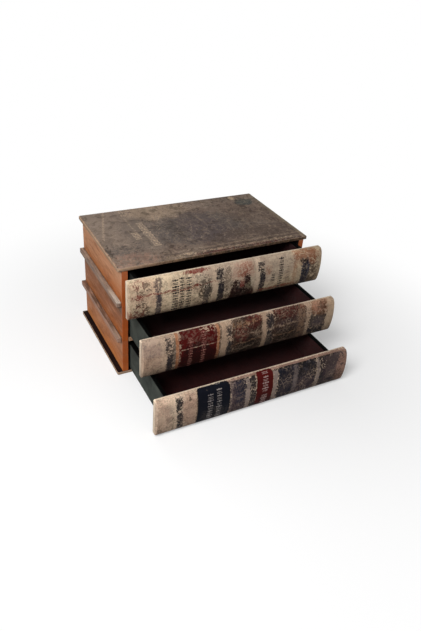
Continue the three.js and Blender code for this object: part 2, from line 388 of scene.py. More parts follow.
def makePatchGroup():
    graph = Graph(bpy.data.node_groups.new("printedPatch", "ShaderNodeTree"))
    given = graph.inputs({
        "Base": "Color", "Ink": "Color", "Place": "Vector", "Drift": "Vector", "Speck": "Float",
        "Flake": "Float", "Centre": "Vector", "Half size": "Vector", "Turn": "Float", "Reach": "Float",
        "Power": "Float", "Wander": "Float", "Ragged": "Float", "Broken": "Float", "Cover": "Float",
    })
    local = given["Place"] + given["Drift"] * given["Wander"] - given["Centre"]
    turned = graph.value("ShaderNodeVectorRotate", {"Vector": local, "Angle": given["Turn"]},
                         rotation_type="Z_AXIS")
    along, up = graph.separate(abs(turned / given["Half size"]))[:2]
    radius = (along ** given["Power"] + up ** given["Power"]) ** (1.0 / given["Power"])
    torn = (given["Speck"] - 0.5) * given["Ragged"] * 2.0
    edge = graph.ramp((1.0 - radius) * given["Reach"] + torn, -0.3, 0.3)
    kept = graph.ramp(given["Flake"], given["Broken"] - 0.1, given["Broken"])
    printed = graph.mix(edge * kept * given["Cover"], given["Base"], given["Ink"])
    return graph.output("Colour", "Color", printed)


patchGroup = makePatchGroup()


def printPatches(graph, place, size, rows, fields):
    for row in rows:
        half = [max(size[k] * row["size"][k] / 2, 0.1) for k in (0, 1)]
        centre = [size[k] * row["centre"][k] for k in (0, 1)]
        graph.base = graph.value("ShaderNodeGroup", dict({
            "Base": graph.base, "Ink": colour(row["ink"]), "Place": place, "Centre": (*centre, 0.0),
            "Half size": (*half, 1.0), "Turn": -row["turn"], "Reach": min(half), "Power": row["power"],
            "Wander": row["wander"], "Ragged": row["ragged"], "Broken": row["broken"], "Cover": row["cover"],
        }, **fields), node_tree=patchGroup)


# scale, detail, roughness and distortion of the patterns that every hide shares
hideGrain = {
    "speck": (0.5, 5.0, 0.62), "flake": (0.22, 4.0, 0.6, 0.9), "fine": (0.33, 7.0, 0.7),
    "speckle": (1.1, 4.0, 0.7), "leather": (0.9, 6.0, 0.6), "tone": (0.03, 2.0), "dry": (0.05, 2.0),
}
# detail, roughness and distortion of those whose scale is a look's own
ownGrain = {
    "cloud": (4.0, 0.6, 0.5), "smudge": (5.0, 0.6, 0.5), "chip": (5.0, 0.62, 0.8),
    "marble": (6.0, 0.62, 1.2), "streak": (4.0, 0.6, 0.3), "zone": (2.0,),
}
# where in its pattern each kind of wear starts, and where it is full
wearReach = {
    "smudge": (0.4, 0.95), "chips": (0.58, 0.72), "marble": (0.46, 0.2), "bare": (0.28, 0.16),
    "streak": (0.62, 1.0), "speckle": (0.72, 0.95), "grime": (0.3, 0.08),
}
hideShift = {      # each hide is cut from another place, and so are the smudges and the chips in it
    "seed": (31.0, 17.0, 11.0), "smudge": (0.0, 43.0, 0.0), "chip": (57.0, 0.0, 0.0),
}


def printedLeather(name, look, low, high, plane):
    # plane says which two axes the print lies in: "XZ" for a spine, "XY" for a cover
    graph = materialGraph(name)
    place = graph.separate(graph.place)
    onSpine = plane == "XZ"
    upAxis = 2 if onSpine else 1
    length, height = ((high[axis] - low[axis]) / mm for axis in (0, upAxis))
    along = place[0] - low.x / mm
    up = place[upAxis] - low[upAxis] / mm
    if onSpine:
        # the print runs on over the upper and lower edges of a spine
        edgeDepth = spineForm["edgeDepth"] / mm
        behind = graph.math("MAXIMUM", place[1] - (high.y / mm - edgeDepth), 0.0)
        up = behind * graph.math("SIGN", up - height / 2) + up
    shifted = graph.place + tuple(look["seed"] * step for step in hideShift["seed"])
    speck, flake, fine, speckle = (graph.even(shifted, *hideGrain[pattern])
                                   for pattern in ("speck", "flake", "fine", "speckle"))
    drift = graph.drift(shifted, 0.08)
    design = (graph.combine(along, up), (length, height))
    fields = {"Drift": drift, "Speck": speck, "Flake": flake}
    dirt, worn = look["dirt"], look["worn"]

    def pattern(kind):
        where = shifted + hideShift[kind] if kind in hideShift else shifted
        return graph.even(where, look[kind + "Scale"], *ownGrain[kind])

    def wear(kind, mask):
        return graph.ramp(mask, *wearReach[kind], 0.0, look[kind])

    cloud, smudge, chips, veins = (pattern(kind) for kind in ("cloud", "smudge", "chip", "marble"))
    zone = graph.ramp(graph.noise(shifted, look["zoneScale"], *ownGrain["zone"]), 0.4, 0.58, 0.15, 1.0)
    marble = wear("marble", veins)
    graph.ground(cloud, look["ground"][0], look["ground"][1])
    graph.tint(look["ground"][2], wear("smudge", smudge))
    graph.tint(dirt, wear("chips", chips) * zone)
    graph.tint(dirt, marble)
    printPatches(graph, *design, look["rows"], fields)
    graph.tint(dirt, marble * look["overMarble"])
    graph.tint(worn, wear("bare", chips))

    # rubbing and scuffing that runs over ink and ground alike
    streak = graph.even(shifted * look["streakScale"], 1.0, *ownGrain["streak"])
    graph.tint(worn, wear("streak", streak))
    graph.tint(worn, wear("speckle", speckle))
    graph.tint(dirt, wear("grime", speckle))

    # fine cracks where the hide has dried out
    gap = graph.cells(shifted + graph.drift(shifted, 0.35, 3.0) * 1.6, look["crackScale"])
    dry = graph.ramp(graph.noise(shifted, *hideGrain["dry"]), 0.45, 0.62)
    crack = graph.ramp(gap, 0.06, 0.0) * dry
    # which are dark on a pale place, and pale on a dark one
    pale = graph.ramp(graph.value("ShaderNodeRGBToBW", {0: graph.base}), 0.05, 0.18)
    graph.tint(graph.mix(pale, colour(worn), colour(dirt)), crack * look["crack"])

    # labels pasted over the hide; on the bottom spine this list also holds a painted shade
    printPatches(graph, *design, look["labels"], fields)

    # pale worn line along the edges
    toEnds = graph.math("MINIMUM", along, length - along)
    toSides = height / 2 + (edgeDepth - 1.0 if onSpine else 0.0) - abs(up - height / 2)
    uneven = (speck - 0.5) * look["edgeTorn"]
    endWear = look["endWear"]
    if onSpine:
        # on the end faces the print runs on over the corner, and only the rear half is rubbed pale
        endWear = graph.ramp(high.y / mm - (place[1] + uneven), *look["endReach"], endWear)
    for inset, rubbed in ((toEnds, endWear), (toSides, look["sideWear"])):
        graph.layer(look["edge"], inset + uneven, look["edgeWidth"], look["edgeWidth"] * 0.3, rubbed)
    if onSpine:
        # painted shade in the dirt ink: darker towards the lower edge of a spine, where its arch turns down
        # from the light
        graph.layer(dirt, up + uneven, height * look["lowReach"], 0.0, look["low"])
    else:
        # the turned-down edge of a cover: darkened by handling, but for its left end
        first, second, left = (colour(ink) for ink in look["rim"])
        start, full, most = look["handled"]
        handled = graph.ramp(along, length * start, length * full, 0.0, most) * graph.ramp(speck, 0.75, 0.5)
        rim = graph.mix(handled, graph.mix(graph.ramp(flake, 0.3, 0.62), first, second), colour("black"))
        end, most = look["paleEnd"]
        rim = graph.mix(graph.ramp(along, length * end, 0.0, 0.0, most), rim, left)
        down = graph.math("MINIMUM", graph.math("MINIMUM", toEnds, toSides), 1.0)
        graph.layer(rim, down, 0.6, 0.3, 0.9)

    tone = graph.ramp(graph.even(shifted, *hideGrain["tone"]), 0.0, 1.0, 0.86, 1.1, shape="LINEAR")
    # painted light and shade: lighter towards the left end and darker towards the right, as the lamps' light
    # falls off across the piece
    graph.shade(tone * graph.ramp(along, 0.0, length, *look["tones"], shape="LINEAR"))
    pores = graph.cells(shifted + drift * 0.5, 1.15, "F1")
    bump = pores * -0.35 + graph.noise(shifted, *hideGrain["leather"]) + crack * -0.5 + fine * 0.25
    roughness = graph.ramp(fine, 0.0, 1.0, *look["roughness"], shape="LINEAR")
    return finish(graph, roughness, bump, look["bump"], look["specular"])


spineLooks = {}

spineLooks["top"] = {
    "seed": 1, "ground": ("ivory", "sand", "brownGrey"), "cloudScale": 0.06, "smudge": 0.44,
    "chips": 0.22, "bare": 0.3, "marble": 0.3, "low": 0.36, "tones": (1.13, 0.78),
    "worn": "paleCream", "dirt": "redUmber", "edge": "bone", "rows": [
        blot("pink", 0.0, 0.14, 0.3, 1.1, 0.3, 5.0, 0.3),
        blot("lilac", 0.3, 0.86, 0.3, 1.3, 0.42, 6.0, 0.05, 8.0),
        blot("redUmber", 0.02, 0.1, -0.05, 0.5, 0.85, 4.0, 0.48, 5.0),
        blot("oxblood", 0.02, 0.075, 0.0, 0.4, 0.5, 4.0, 0.52, 5.0),
        blot("redUmber", 0.035, 0.105, 0.66, 0.98, 0.7, 3.0, 0.58, 4.0),
        patch("redUmber", 0.056, 0.066, 0.36, 0.6, 0.6, 1.2, 0.3, 2.5),
        patch("brownGrey", 0.03, 0.43, 0.575, 0.6, 0.5, 1.6, 0.4, 4.0),
        blot("oxblood", 0.03, 0.062, 0.56, 0.7, 0.85, 3.0, 0.35, 3.0),
        blot("rust", -0.01, 0.022, 0.04, 0.26, 0.8, 2.0, 0.25),
        blot("oxblood", 0.012, 0.07, 0.82, 1.04, 0.6, 3.0, 0.55),
        patch("smoke", 0.122, 0.15, 0.02, 0.68, 0.92, 2.4, 0.14, 1.8),
        patch("mulberry", 0.116, 0.15, 0.62, 1.02, 0.75, 2.4, 0.5, 2.4),
        patch("oxblood", 0.04, 0.29, 0.622, 0.668, 0.8, 1.4, 0.26, 4.5),
        patch("oxblood", 0.28, 0.43, 0.652, 0.688, 0.9, 1.0, 0.2, 3.5),
        blot("bark", 0.3, 0.345, 0.1, 0.9, 0.4, 5.0, 0.55, 5.0),
        blot("oxblood", 0.262, 0.376, 0.95, 1.1, 0.9, 2.0, 0.2),
        blot("bark", 0.332, 0.395, 0.04, 0.86, 0.8, 4.0, 0.42, 4.0),
        patch("ash", 0.354, 0.386, 0.02, 0.64, 0.92, 2.6, 0.22, 2.0),
        stripe("cream", 0.398, 0.424, 0.5, 1.6, 0.1, 2.0),
        patch("navy", 0.426, 0.46, 0.04, 0.66, 0.96, 2.0, 0.1, 1.5),
        patch("navy", 0.416, 0.452, 0.68, 0.96, 0.95, 2.6, 0.4, 2.4),
        blot("bark", 0.46, 0.5, 0.1, 1.0, 0.6, 4.0, 0.5),
        blot("pink", 0.49, 0.62, 0.5, 1.08, 0.5, 6.0, 0.3, 6.0),
        blot("rust", 0.52, 0.61, 0.62, 1.0, 0.5, 4.0, 0.5, 5.0),
        blot("oxblood", 0.545, 0.6, 0.6, 0.9, 0.5, 4.0, 0.58, 5.0),
        blot("maroon", 0.49, 0.624, -0.25, 0.46, 0.8, 3.0, 0.3, 4.0),
        blot("maroon", 0.486, 0.622, -0.25, 0.34, 1.0, 3.0, 0.05, 3.0),
        blot("maroon", 0.496, 0.54, 0.1, 0.6, 1.0, 2.4, 0.1, 3.0),
        blot("maroon", 0.56, 0.6, 0.16, 0.7, 1.0, 2.4, 0.12, 3.0),
        blot("oxblood", 0.536, 0.566, 0.34, 0.56, 0.8, 2.4, 0.3, 3.0),
        blot("black", 0.5, 0.61, -0.2, 0.26, 0.85, 4.0, 0.3, 4.0),
        patch("navy", 0.528, 0.54, 0.3, 0.56, 0.8, 2.0, 0.3, 3.0),
        blot("oliveTan", 0.576, 0.604, 0.28, 0.46, 0.7, 3.0, 0.4),
        blot("bark", 0.462, 0.486, 0.06, 0.52, 0.6, 3.0, 0.45, 4.0),
        stripe("paleCream", 0.622, 0.648, 0.6, 2.0, 0.1, 2.0),
        patch("navy", 0.648, 0.678, 0.06, 0.68, 0.96, 2.0, 0.1, 1.5),
        patch("navy", 0.636, 0.668, 0.7, 0.92, 0.88, 2.6, 0.45, 2.4),
        blot("rust", 0.68, 0.708, 0.55, 0.84, 0.5, 3.0, 0.5),
        patch("rust", 0.65, 0.848, 0.1, 0.17, 0.85, 2.0, 0.25, 3.0),
        patch("orangeTan", 0.836, 0.858, 0.0, 1.0, 0.45, 2.0, 0.4, 2.0),
        patch("orangeTan", 0.84, 0.968, 0.95, 1.14, 0.5, 2.0, 0.4, 3.0),
        blot("orangeTan", 0.85, 0.975, 0.6, 1.1, 0.3, 5.0, 0.15, 5.0),
        blot("rust", 0.84, 0.97, 0.72, 1.05, 0.6, 4.0, 0.46, 4.0),
        blot("brownGrey", 0.905, 0.99, -0.05, 0.8, 0.6, 4.0, 0.42),
        blot("bark", 0.915, 0.975, 0.0, 0.74, 0.7, 4.0, 0.52),
        patch("inkBlue", 0.886, 0.93, 0.04, 0.78, 0.96, 3.0, 0.2, 2.2),
        patch("navy", 0.892, 0.918, 0.1, 0.76, 0.8, 2.4, 0.3, 1.8),
        blot("rust", 0.925, 0.972, 0.62, 0.86, 0.6, 3.0, 0.4),
        patch("black", 0.872, 0.915, 0.73, 0.8, 0.9, 1.6, 0.3, 2.5),
    ],
    "labels": [],
    "columns": [
        (0.215, 9.0, 0.04, 0.92, "ink"), (0.246, 7.0, 0.06, 0.92, "ink"), (0.28, 8.0, 0.04, 0.94, "ink"),
        (0.723, 6.5, 0.38, 0.6, "ink"), (0.765, 7.5, 0.08, 1.0, "ink"), (0.806, 6.5, 0.3, 0.74, "faint"),
        (0.478, 5.5, 0.45, 0.95, "faint"),
    ],
}

spineLooks["middle"] = {
    "seed": 2, "ground": ("cream", "parchment", "purpleGrey"), "cloudScale": 0.05, "smudge": 0.5,
    "chips": 0.4, "bare": 0.3, "marble": 0.4, "low": 0.42, "crack": 0.5, "crackScale": 0.2,
    "tones": (0.98, 0.94),
    "worn": "cream", "dirt": "darkUmber", "edge": "bone", "rows": [
        blot("pink", -0.02, 0.1, 0.2, 0.95, 0.35, 6.0, 0.4, 6.0),
        blot("lilac", -0.04, 0.13, 0.6, 1.3, 0.35, 5.0, 0.05, 5.0),
        stripe("cream", 0.085, 0.108, 0.5, 2.0, 0.1, 2.0),
        patch("navy", 0.11, 0.138, 0.02, 0.62, 0.95, 2.2, 0.12, 1.4),
        patch("navy", 0.104, 0.132, 0.62, 1.0, 0.9, 2.4, 0.45, 2.4),
        blot("ash", 0.134, 0.158, 0.0, 1.0, 0.75, 2.5, 0.35),
        stripe("orangeTan", 0.152, 0.167, 0.85, 0.8, 0.12, 0.8),
        stripe("orangeTan", 0.351, 0.366, 0.88, 0.8, 0.12, 0.8),
        stripe("bark", 0.364, 0.374, 0.7, 1.0, 0.3, 1.5),
        stripe("parchment", 0.375, 0.402, 0.7, 1.6, 0.1, 2.0),
        patch("navy", 0.405, 0.438, 0.0, 0.56, 0.95, 2.2, 0.12, 1.6),
        patch("navy", 0.398, 0.428, 0.6, 0.92, 0.9, 2.6, 0.42, 2.4),
        panel("redBark", 0.43, 0.59, 0.96, 4.0, 0.1, 5.0),
        blot("oxblood", 0.5, 0.59, 0.72, 1.1, 0.75, 5.0, 0.45, 5.0),
        blot("black", 0.44, 0.59, -0.3, 0.56, 0.8, 7.0, 0.42, 8.0),
        blot("black", 0.44, 0.59, 0.6, 1.05, 0.75, 5.0, 0.52, 6.0),
        patch("parchment", 0.45, 0.585, 0.6, 0.64, 0.6, 1.8, 0.45, 4.0),
        patch("tan", 0.45, 0.58, 0.4, 0.43, 0.55, 1.6, 0.35, 6.0),
        patch("cream", 0.44, 0.56, 0.24, 0.275, 0.5, 1.6, 0.4, 8.0),
        blot("oxblood", 0.44, 0.52, 0.45, 0.9, 0.4, 5.0, 0.5, 5.0),
        blot("tan", 0.44, 0.57, 0.84, 0.96, 0.5, 4.0, 0.55, 6.0),
        stripe("parchment", 0.59, 0.612, 0.85, 2.2, 0.14, 2.0),
        patch("navy", 0.616, 0.655, 0.0, 0.6, 0.96, 2.2, 0.08, 1.6),
        patch("navy", 0.61, 0.65, 0.6, 1.0, 0.95, 2.6, 0.3, 2.4),
        panel("redBark", 0.648, 0.835, 0.96, 4.0, 0.1, 5.0),
        blot("oxblood", 0.66, 0.83, 0.76, 1.2, 0.7, 5.0, 0.48),
        blot("black", 0.65, 0.8, -0.2, 0.5, 0.8, 7.0, 0.38, 8.0),
        blot("black", 0.65, 0.83, 0.7, 1.1, 0.7, 5.0, 0.56, 5.0),
        blot("mulberry", 0.66, 0.83, 0.45, 0.8, 0.6, 6.0, 0.5, 6.0),
        patch("parchment", 0.65, 0.8, 0.6, 0.655, 0.7, 2.2, 0.45, 5.0),
        patch("tan", 0.66, 0.8, 0.33, 0.37, 0.5, 1.8, 0.45, 6.0),
        patch("cream", 0.67, 0.79, 0.12, 0.15, 0.4, 1.6, 0.45, 8.0),
        blot("brownGrey", 0.775, 0.84, -0.1, 1.0, 0.75, 5.0, 0.35, 5.0),
        blot("tan", 0.785, 0.83, -0.1, 1.05, 0.4, 5.0, 0.5, 5.0),
        stripe("parchment", 0.836, 0.854, 0.8, 2.2, 0.14, 2.0),
        patch("ash", 0.854, 0.955, -0.15, 1.0, 0.92, 5.0, 0.28, 5.0),
        blot("navy", 0.858, 0.95, -0.2, 0.45, 0.8, 5.0, 0.42),
        blot("purpleGrey", 0.87, 0.94, 0.3, 0.62, 0.6, 4.0, 0.4, 5.0),
        blot("pink", 0.872, 0.935, 0.74, 1.02, 0.92, 4.0, 0.35, 4.0),
        blot("orangeTan", 0.86, 0.985, 0.66, 1.15, 0.45, 4.0, 0.3, 4.0),
        blot("bark", 0.9, 0.965, 0.6, 1.05, 0.7, 4.0, 0.5),
        stripe("paleTan", 0.958, 1.01, 0.7, 2.0, 0.15, 2.0),
    ],
    "labels": [
        panel("darkRed", 0.166, 0.352, 1.0, 1.0, 0.03, 1.0),
        blot("oxblood", 0.18, 0.35, 0.45, 1.05, 0.3, 6.0, 0.45, 6.0),
        blot("maroon", 0.165, 0.355, 0.45, 1.15, 0.6, 4.0, 0.54, 4.0),
        blot("pink", 0.17, 0.352, 0.62, 1.15, 0.15, 2.6, 0.62, 3.0),
        blot("black", 0.172, 0.35, -0.4, 0.75, 0.7, 7.0, 0.26, 6.0),
        patch("cream", 0.175, 0.35, 0.6, 0.622, 0.6, 0.7, 0.4, 0.8),
        blot("cream", 0.275, 0.352, 0.93, 1.1, 0.7, 2.6, 0.56, 2.6),
        patch("cream", 0.167, 0.176, 0.3, 1.14, 0.5, 1.4, 0.55, 1.4),
        patch("black", 0.43, 0.59, 0.16, 0.62, 0.26, 7.0, 0.05, 5.0),
        patch("black", 0.645, 0.84, 0.16, 0.62, 0.26, 7.0, 0.05, 5.0),
    ],
    "columns": [
        (0.222, 6.5, 0.08, 0.86, "dull"), (0.285, 6.5, 0.1, 0.98, "dull"),
    ],
}

spineLooks["bottom"] = {
    "seed": 3, "ground": ("paleCream", "cream", "purpleGrey"), "cloudScale": 0.05, "smudge": 0.4,
    "chips": 0.3, "bare": 0.2, "marble": 0.28, "low": 0.06, "crack": 0.6,
    "worn": "cream", "dirt": "black", "edge": "bone", "rows": [
        blot("purpleGrey", 0.04, 0.085, 0.3, 0.85, 0.3, 5.0, 0.45, 5.0),
        blot("pink", -0.02, 0.06, 0.0, 1.1, 0.35, 6.0, 0.3, 6.0),
        stripe("paleCream", 0.08, 0.125, 0.55, 1.6, 0.1, 1.5),
        patch("navy", 0.094, 0.123, 0.0, 0.62, 0.96, 2.0, 0.1, 1.4),
        patch("navy", 0.089, 0.12, 0.64, 1.0, 0.95, 2.4, 0.42, 2.0),
        blot("pink", 0.12, 0.19, 0.1, 1.1, 0.5, 4.0, 0.2),
        blot("bark", 0.15, 0.162, 0.84, 0.96, 0.8, 1.6, 0.3, 2.0),
        stripe("parchment", 0.184, 0.192, 0.7, 0.8, 0.2, 0.8),
        panel("black", 0.186, 0.353, 0.6, 1.4, 0.1, 0.8),
        panel("purpleGrey", 0.35, 0.436, 0.92, 4.0, 0.04, 4.0),
        blot("mulberry", 0.365, 0.436, -0.2, 1.2, 0.9, 5.0, 0.34, 5.0),
        blot("blueGrey", 0.375, 0.435, 0.3, 1.2, 0.85, 5.0, 0.4),
        stripe("lilac", 0.434, 0.456, 0.9, 1.8, 0.08, 2.0),
        patch("navy", 0.455, 0.49, 0.0, 0.66, 0.96, 1.8, 0.08, 1.4),
        patch("navy", 0.452, 0.486, 0.66, 1.14, 0.95, 2.2, 0.34, 2.0),
        stripe("lilac", 0.575, 0.6, 0.92, 2.0, 0.08, 2.2),
        panel("blueGrey", 0.601, 0.82, 0.96, 4.0, 0.04, 4.0),
        blot("navy", 0.6, 0.69, -0.2, 1.1, 0.88, 5.0, 0.2),
        blot("purpleGrey", 0.62, 0.68, 0.1, 0.9, 0.3, 5.0, 0.45, 5.0),
        blot("black", 0.7, 0.82, 0.15, 1.15, 0.8, 7.0, 0.36, 7.0),
        blot("mulberry", 0.69, 0.82, -0.2, 0.6, 0.8, 6.0, 0.25),
        blot("lilac", 0.688, 0.714, 0.2, 1.1, 0.5, 4.0, 0.3, 4.0),
        blot("purpleGrey", 0.72, 0.81, 0.3, 0.85, 0.3, 5.0, 0.4, 6.0),
        stripe("lilac", 0.822, 0.843, 0.9, 2.0, 0.1, 2.0),
        patch("navy", 0.842, 0.878, 0.0, 0.68, 0.96, 2.2, 0.1, 1.6),
        patch("navy", 0.838, 0.872, 0.68, 1.14, 0.95, 2.4, 0.36, 2.2),
        panel("mulberry", 0.862, 1.01, 0.92, 5.0, 0.08, 5.0),
        blot("purpleGrey", 0.89, 1.0, 0.2, 1.1, 0.5, 6.0, 0.2, 6.0),
        blot("navy", 0.87, 0.975, -0.2, 0.34, 0.75, 5.0, 0.35),
        blot("pink", 0.94, 1.05, -0.1, 1.1, 0.7, 5.0, 0.34, 4.0),
        blot("bark", 0.93, 0.985, 0.0, 0.5, 0.6, 4.0, 0.5),
        patch("pink", 0.34, 1.0, 1.03, 1.22, 0.7, 1.2, 0.06, 1.2),
        patch("black", 0.355, 0.9, 0.985, 1.03, 0.92, 1.4, 0.36, 1.4),
    ],
    "labels": [
        panel("labelBlack", 0.19, 0.35, 1.0, 0.6, 0.02, 0.6),
        blot("slate", 0.2, 0.34, -0.3, 0.5, 0.3, 7.0, 0.5, 8.0),
        # painted shade: a thin black wash over the upper part of the bottom spine, where its arch faces the
        # light
        patch("black", 0.36, 1.02, 0.7, 1.3, 0.27, 8.0, 0.05, 4.0),
        panel("darkRed", 0.488, 0.575, 1.0, 0.6, 0.02, 0.6),
        blot("black", 0.48, 0.58, -0.4, 0.4, 0.6, 5.0, 0.3, 5.0),
    ],
    "columns": [
        (0.252, 8.0, 0.16, 0.86, "gilt"), (0.296, 7.5, 0.08, 1.0, "gilt"), (0.534, 9.0, 0.06, 0.98, "bright"),
    ],
}

spineWear = {
    "smudgeScale": 0.12, "streakScale": (0.5, 0.12, 0.16), "streak": 0.14, "speckle": 0.12, "grime": 0.12,
    "marbleScale": 0.2, "overMarble": 0.4, "chipScale": 0.3, "zoneScale": 0.035, "tones": (1.07, 0.94),
    "crackScale": 0.17, "crack": 0.34, "edgeWidth": 1.8, "edgeTorn": 2.4, "endWear": 0.85,
    "endReach": (7.2, 4.4, 0.12),      # millimetres from the back, and what is rubbed in front of them
    "lowReach": 0.42,                  # how far up the painted shade of the lower edge goes
    "sideWear": 0.7, "roughness": (0.55, 0.8), "bump": 0.16, "specular": 0.05,
}

coverRows = [
    blot("taupe", -0.2, 0.3, -0.1, 1.1, 0.7, 14.0, 0.25, 16.0),
    blot("paleTan", 0.22, 0.56, 0.72, 1.12, 0.38, 14.0, 0.3, 16.0),
    blot("slate", 0.28, 0.78, 0.16, 0.74, 0.7, 18.0, 0.3, 18.0),
    blot("peat", 0.36, 0.7, 0.2, 0.6, 0.45, 10.0, 0.48, 14.0),
    blot("plum", 0.44, 0.66, 0.05, 0.75, 0.45, 14.0, 0.35, 14.0),
    blot("slate", 0.14, 0.38, 0.22, 0.8, 0.42, 14.0, 0.3, 12.0),
    blot("umber", 0.74, 1.05, 0.02, 0.86, 0.5, 16.0, 0.3, 14.0),
    blot("slate", 0.7, 0.96, 0.05, 0.42, 0.4, 12.0, 0.4, 10.0),
    blot("teal", 0.852, 0.96, 0.755, 0.9, 0.8, 4.0, 0.3, 4.0),
    blot("paleTan", 0.84, 0.88, 0.895, 0.985, 0.75, 3.0, 0.35, 4.0),
    blot("umber", 0.48, 1.05, -0.1, 0.34, 0.6, 12.0, 0.35, 12.0),
    patch("paleTan", 0.2, 0.209, 0.5, 1.0, 0.3, 2.0, 0.35, 2.5),
    patch("paleTan", 0.06, 1.0, 0.098, 0.12, 0.34, 2.2, 0.48, 3.5),
    patch("umber", 0.0, 1.0, -0.02, 0.094, 0.5, 5.0, 0.5, 3.0),
    patch("darkUmber", 0.2, 1.0, -0.02, 0.06, 0.75, 4.0, 0.35, 3.0),
    patch("black", 0.28, 1.0, -0.02, 0.042, 0.6, 3.0, 0.5, 3.0),
    patch("paleTan", 0.24, 0.97, 0.034, 0.064, 0.65, 2.6, 0.5, 3.0),
    blot("oxblood", 0.32, 0.92, -0.03, 0.05, 0.3, 3.5, 0.55),
    patch("paleTan", -0.02, 0.36, -0.02, 0.052, 0.5, 3.5, 0.45, 3.0),
    blot("slate", 0.0, 0.19, 0.12, 0.36, 0.6, 9.0, 0.46, 9.0),
    blot("umber", 0.0, 0.3, -0.05, 0.22, 0.5, 7.0, 0.46, 8.0),
    blot("pink", -0.05, 0.22, -0.02, 0.2, 0.4, 6.0, 0.5, 8.0),
    patch("tan", -0.02, 0.007, -0.02, 1.02, 0.6, 1.4, 0.3, 1.0),
    patch("darkUmber", 0.004, 0.03, 0.12, 0.42, 0.6, 3.0, 0.5, 3.0),
    patch("oliveTan", 0.978, 1.02, -0.02, 1.02, 0.5, 1.8, 0.3, 1.0),
]

coverLook = {
    "seed": 4, "labels": [], "ground": ("brownGrey", "taupe", "umber"), "cloudScale": 0.028,
    "smudgeScale": 0.26, "smudge": 0.65,
    "worn": "paleTan", "dirt": "darkUmber", "edge": "paleTan", "rim": ("rimDark", "rimWorn", "rimPale"),
    "streakScale": (0.16, 0.05, 0.3), "streak": 0.14, "speckle": 0.2, "grime": 0.5,
    "marbleScale": 0.06, "marble": 0.5, "overMarble": 0.7, "chipScale": 0.12, "chips": 0.35, "bare": 0.12,
    "zoneScale": 0.02, "tones": (1.02, 0.97),
    "crackScale": 0.1, "crack": 0.22, "edgeWidth": 1.4, "edgeTorn": 2.6, "endWear": 0.5,
    "sideWear": 0.35, "roughness": (0.55, 0.8), "bump": 0.2, "specular": 0.1,
    "handled": (0.15, 0.4, 0.62),      # where along the rim it starts and is full, and how dark it gets
    "paleEnd": (0.32, 0.75),           # how far the pale left end reaches, and how pale it gets
}


# Meshes

def makeObject(name, mesh):
    made = bpy.data.objects.new(name, mesh)
    bpy.context.scene.collection.objects.link(made)
    return made


def meshFrom(name, points, faces):
    # one closed skin with its faces turned outwards
    mesh = bpy.data.meshes.new(name)
    mesh.from_pydata(points, [], faces)
    shape = bmesh.new()
    shape.from_mesh(mesh)
    bmesh.ops.recalc_face_normals(shape, faces=shape.faces)
    shape.to_mesh(mesh)
    shape.free()
    mesh.shade_smooth()
    return mesh


cornerCells = 4
edgeCells = 4


def gridLines(half, corner, cells):
    # places of the grid lines across one side, closer together in the rounded corners
    straight = half - corner
    bend = [straight + corner * k / cornerCells for k in range(1, cornerCells + 1)]
    middle = [-straight + 2 * straight * k / cells for k in range(cells + 1)]
    return [-value for value in reversed(bend)] + middle + bend


def band(first, second):
    # the faces between two rings of points
    after = [*range(1, len(first)), 0]
    return [(first[k], first[n], second[n], second[k]) for k, n in enumerate(after)]


def traySkin(halfA, halfB, depth, corner, edge, cells):
    # a shallow tray upside down: a face with rounded corners, rolled over into walls that end at depth 0
    bend = max(corner - edge, 0.02 * mm)
    linesA = gridLines(halfA - edge, bend, cells[0])
    linesB = gridLines(halfB - edge, bend, cells[1])
    squareA, squareB = halfA - edge - bend, halfB - edge - bend
    points = []
    outward = {}
    for b in linesB:
        for a in linesA:
            keptA = max(-squareA, min(squareA, a))
            keptB = max(-squareB, min(squareB, b))
            offA, offB = a - keptA, b - keptB
            length = math.hypot(offA, offB)
            pull = max(abs(offA), abs(offB)) / length if length > 0 else 1.0
            if length > 0:
                outward[len(points)] = (offA / length, offB / length)
            points.append((keptA + offA * pull, keptB + offB * pull, depth))
    wide, tall = len(linesA), len(linesB)
    faces = [(j * wide + i, j * wide + i + 1, (j + 1) * wide + i + 1, (j + 1) * wide + i)
             for j in range(tall - 1) for i in range(wide - 1)]
    ring = list(range(wide))
    ring += [j * wide + wide - 1 for j in range(1, tall)]
    ring += [(tall - 1) * wide + i for i in range(wide - 2, -1, -1)]
    ring += [j * wide for j in range(tall - 2, 0, -1)]
    base = [(points[k], outward[k]) for k in ring]
    turns = [math.pi / 2 * k / edgeCells for k in range(1, edgeCells + 1)]
    steps = [(edge * math.sin(turn), depth - edge + edge * math.cos(turn)) for turn in turns]
    steps += [(edge, (depth - edge) * (1 - k / cells[2])) for k in range(1, cells[2] + 1)]
    for out, level in steps:
        fresh = list(range(len(points), len(points) + len(ring)))
        points += [(p[0] + n[0] * out, p[1] + n[1] * out, level) for p, n in base]
        faces += band(ring, fresh)
        ring = fresh
    return points, faces, ring


def trayMesh(name, form, spans, place):
    # spans are the two sides and the depth; form's skin is the wall, or None for a block with a flat back
    gap, corner, edge, step, skin = (form[key] for key in ("gap", "corner", "edge", "step", "skin"))
    halfA, halfB, depth = spans[0] / 2 - gap, spans[1] / 2 - gap, spans[2] - gap
    runs = (2 * (halfA - corner), 2 * (halfB - corner), depth - edge)
    cells = [max(2, round(run / step)) for run in runs]
    points, faces, rim = traySkin(halfA, halfB, depth, corner, edge, cells)
    if skin is None:
        faces.append(tuple(rim))
    else:
        inner = traySkin(halfA - skin, halfB - skin, depth - skin, max(corner - skin, 0.1 * mm),
                         max(edge - skin, 0.05 * mm), cells)
        start = len(points)
        points += inner[0]
        faces += [tuple(start + k for k in face) for face in inner[1]]
        faces += band(rim, [start + k for k in inner[2]])
    return meshFrom(name, [place(*point) for point in points], faces)


# Geometry node trees

def newTree(name, inputs):
    graph = Graph(bpy.data.node_groups.new(name, "GeometryNodeTree"))
    return graph, graph.inputs(dict({"Geometry": "Geometry"}, **inputs))


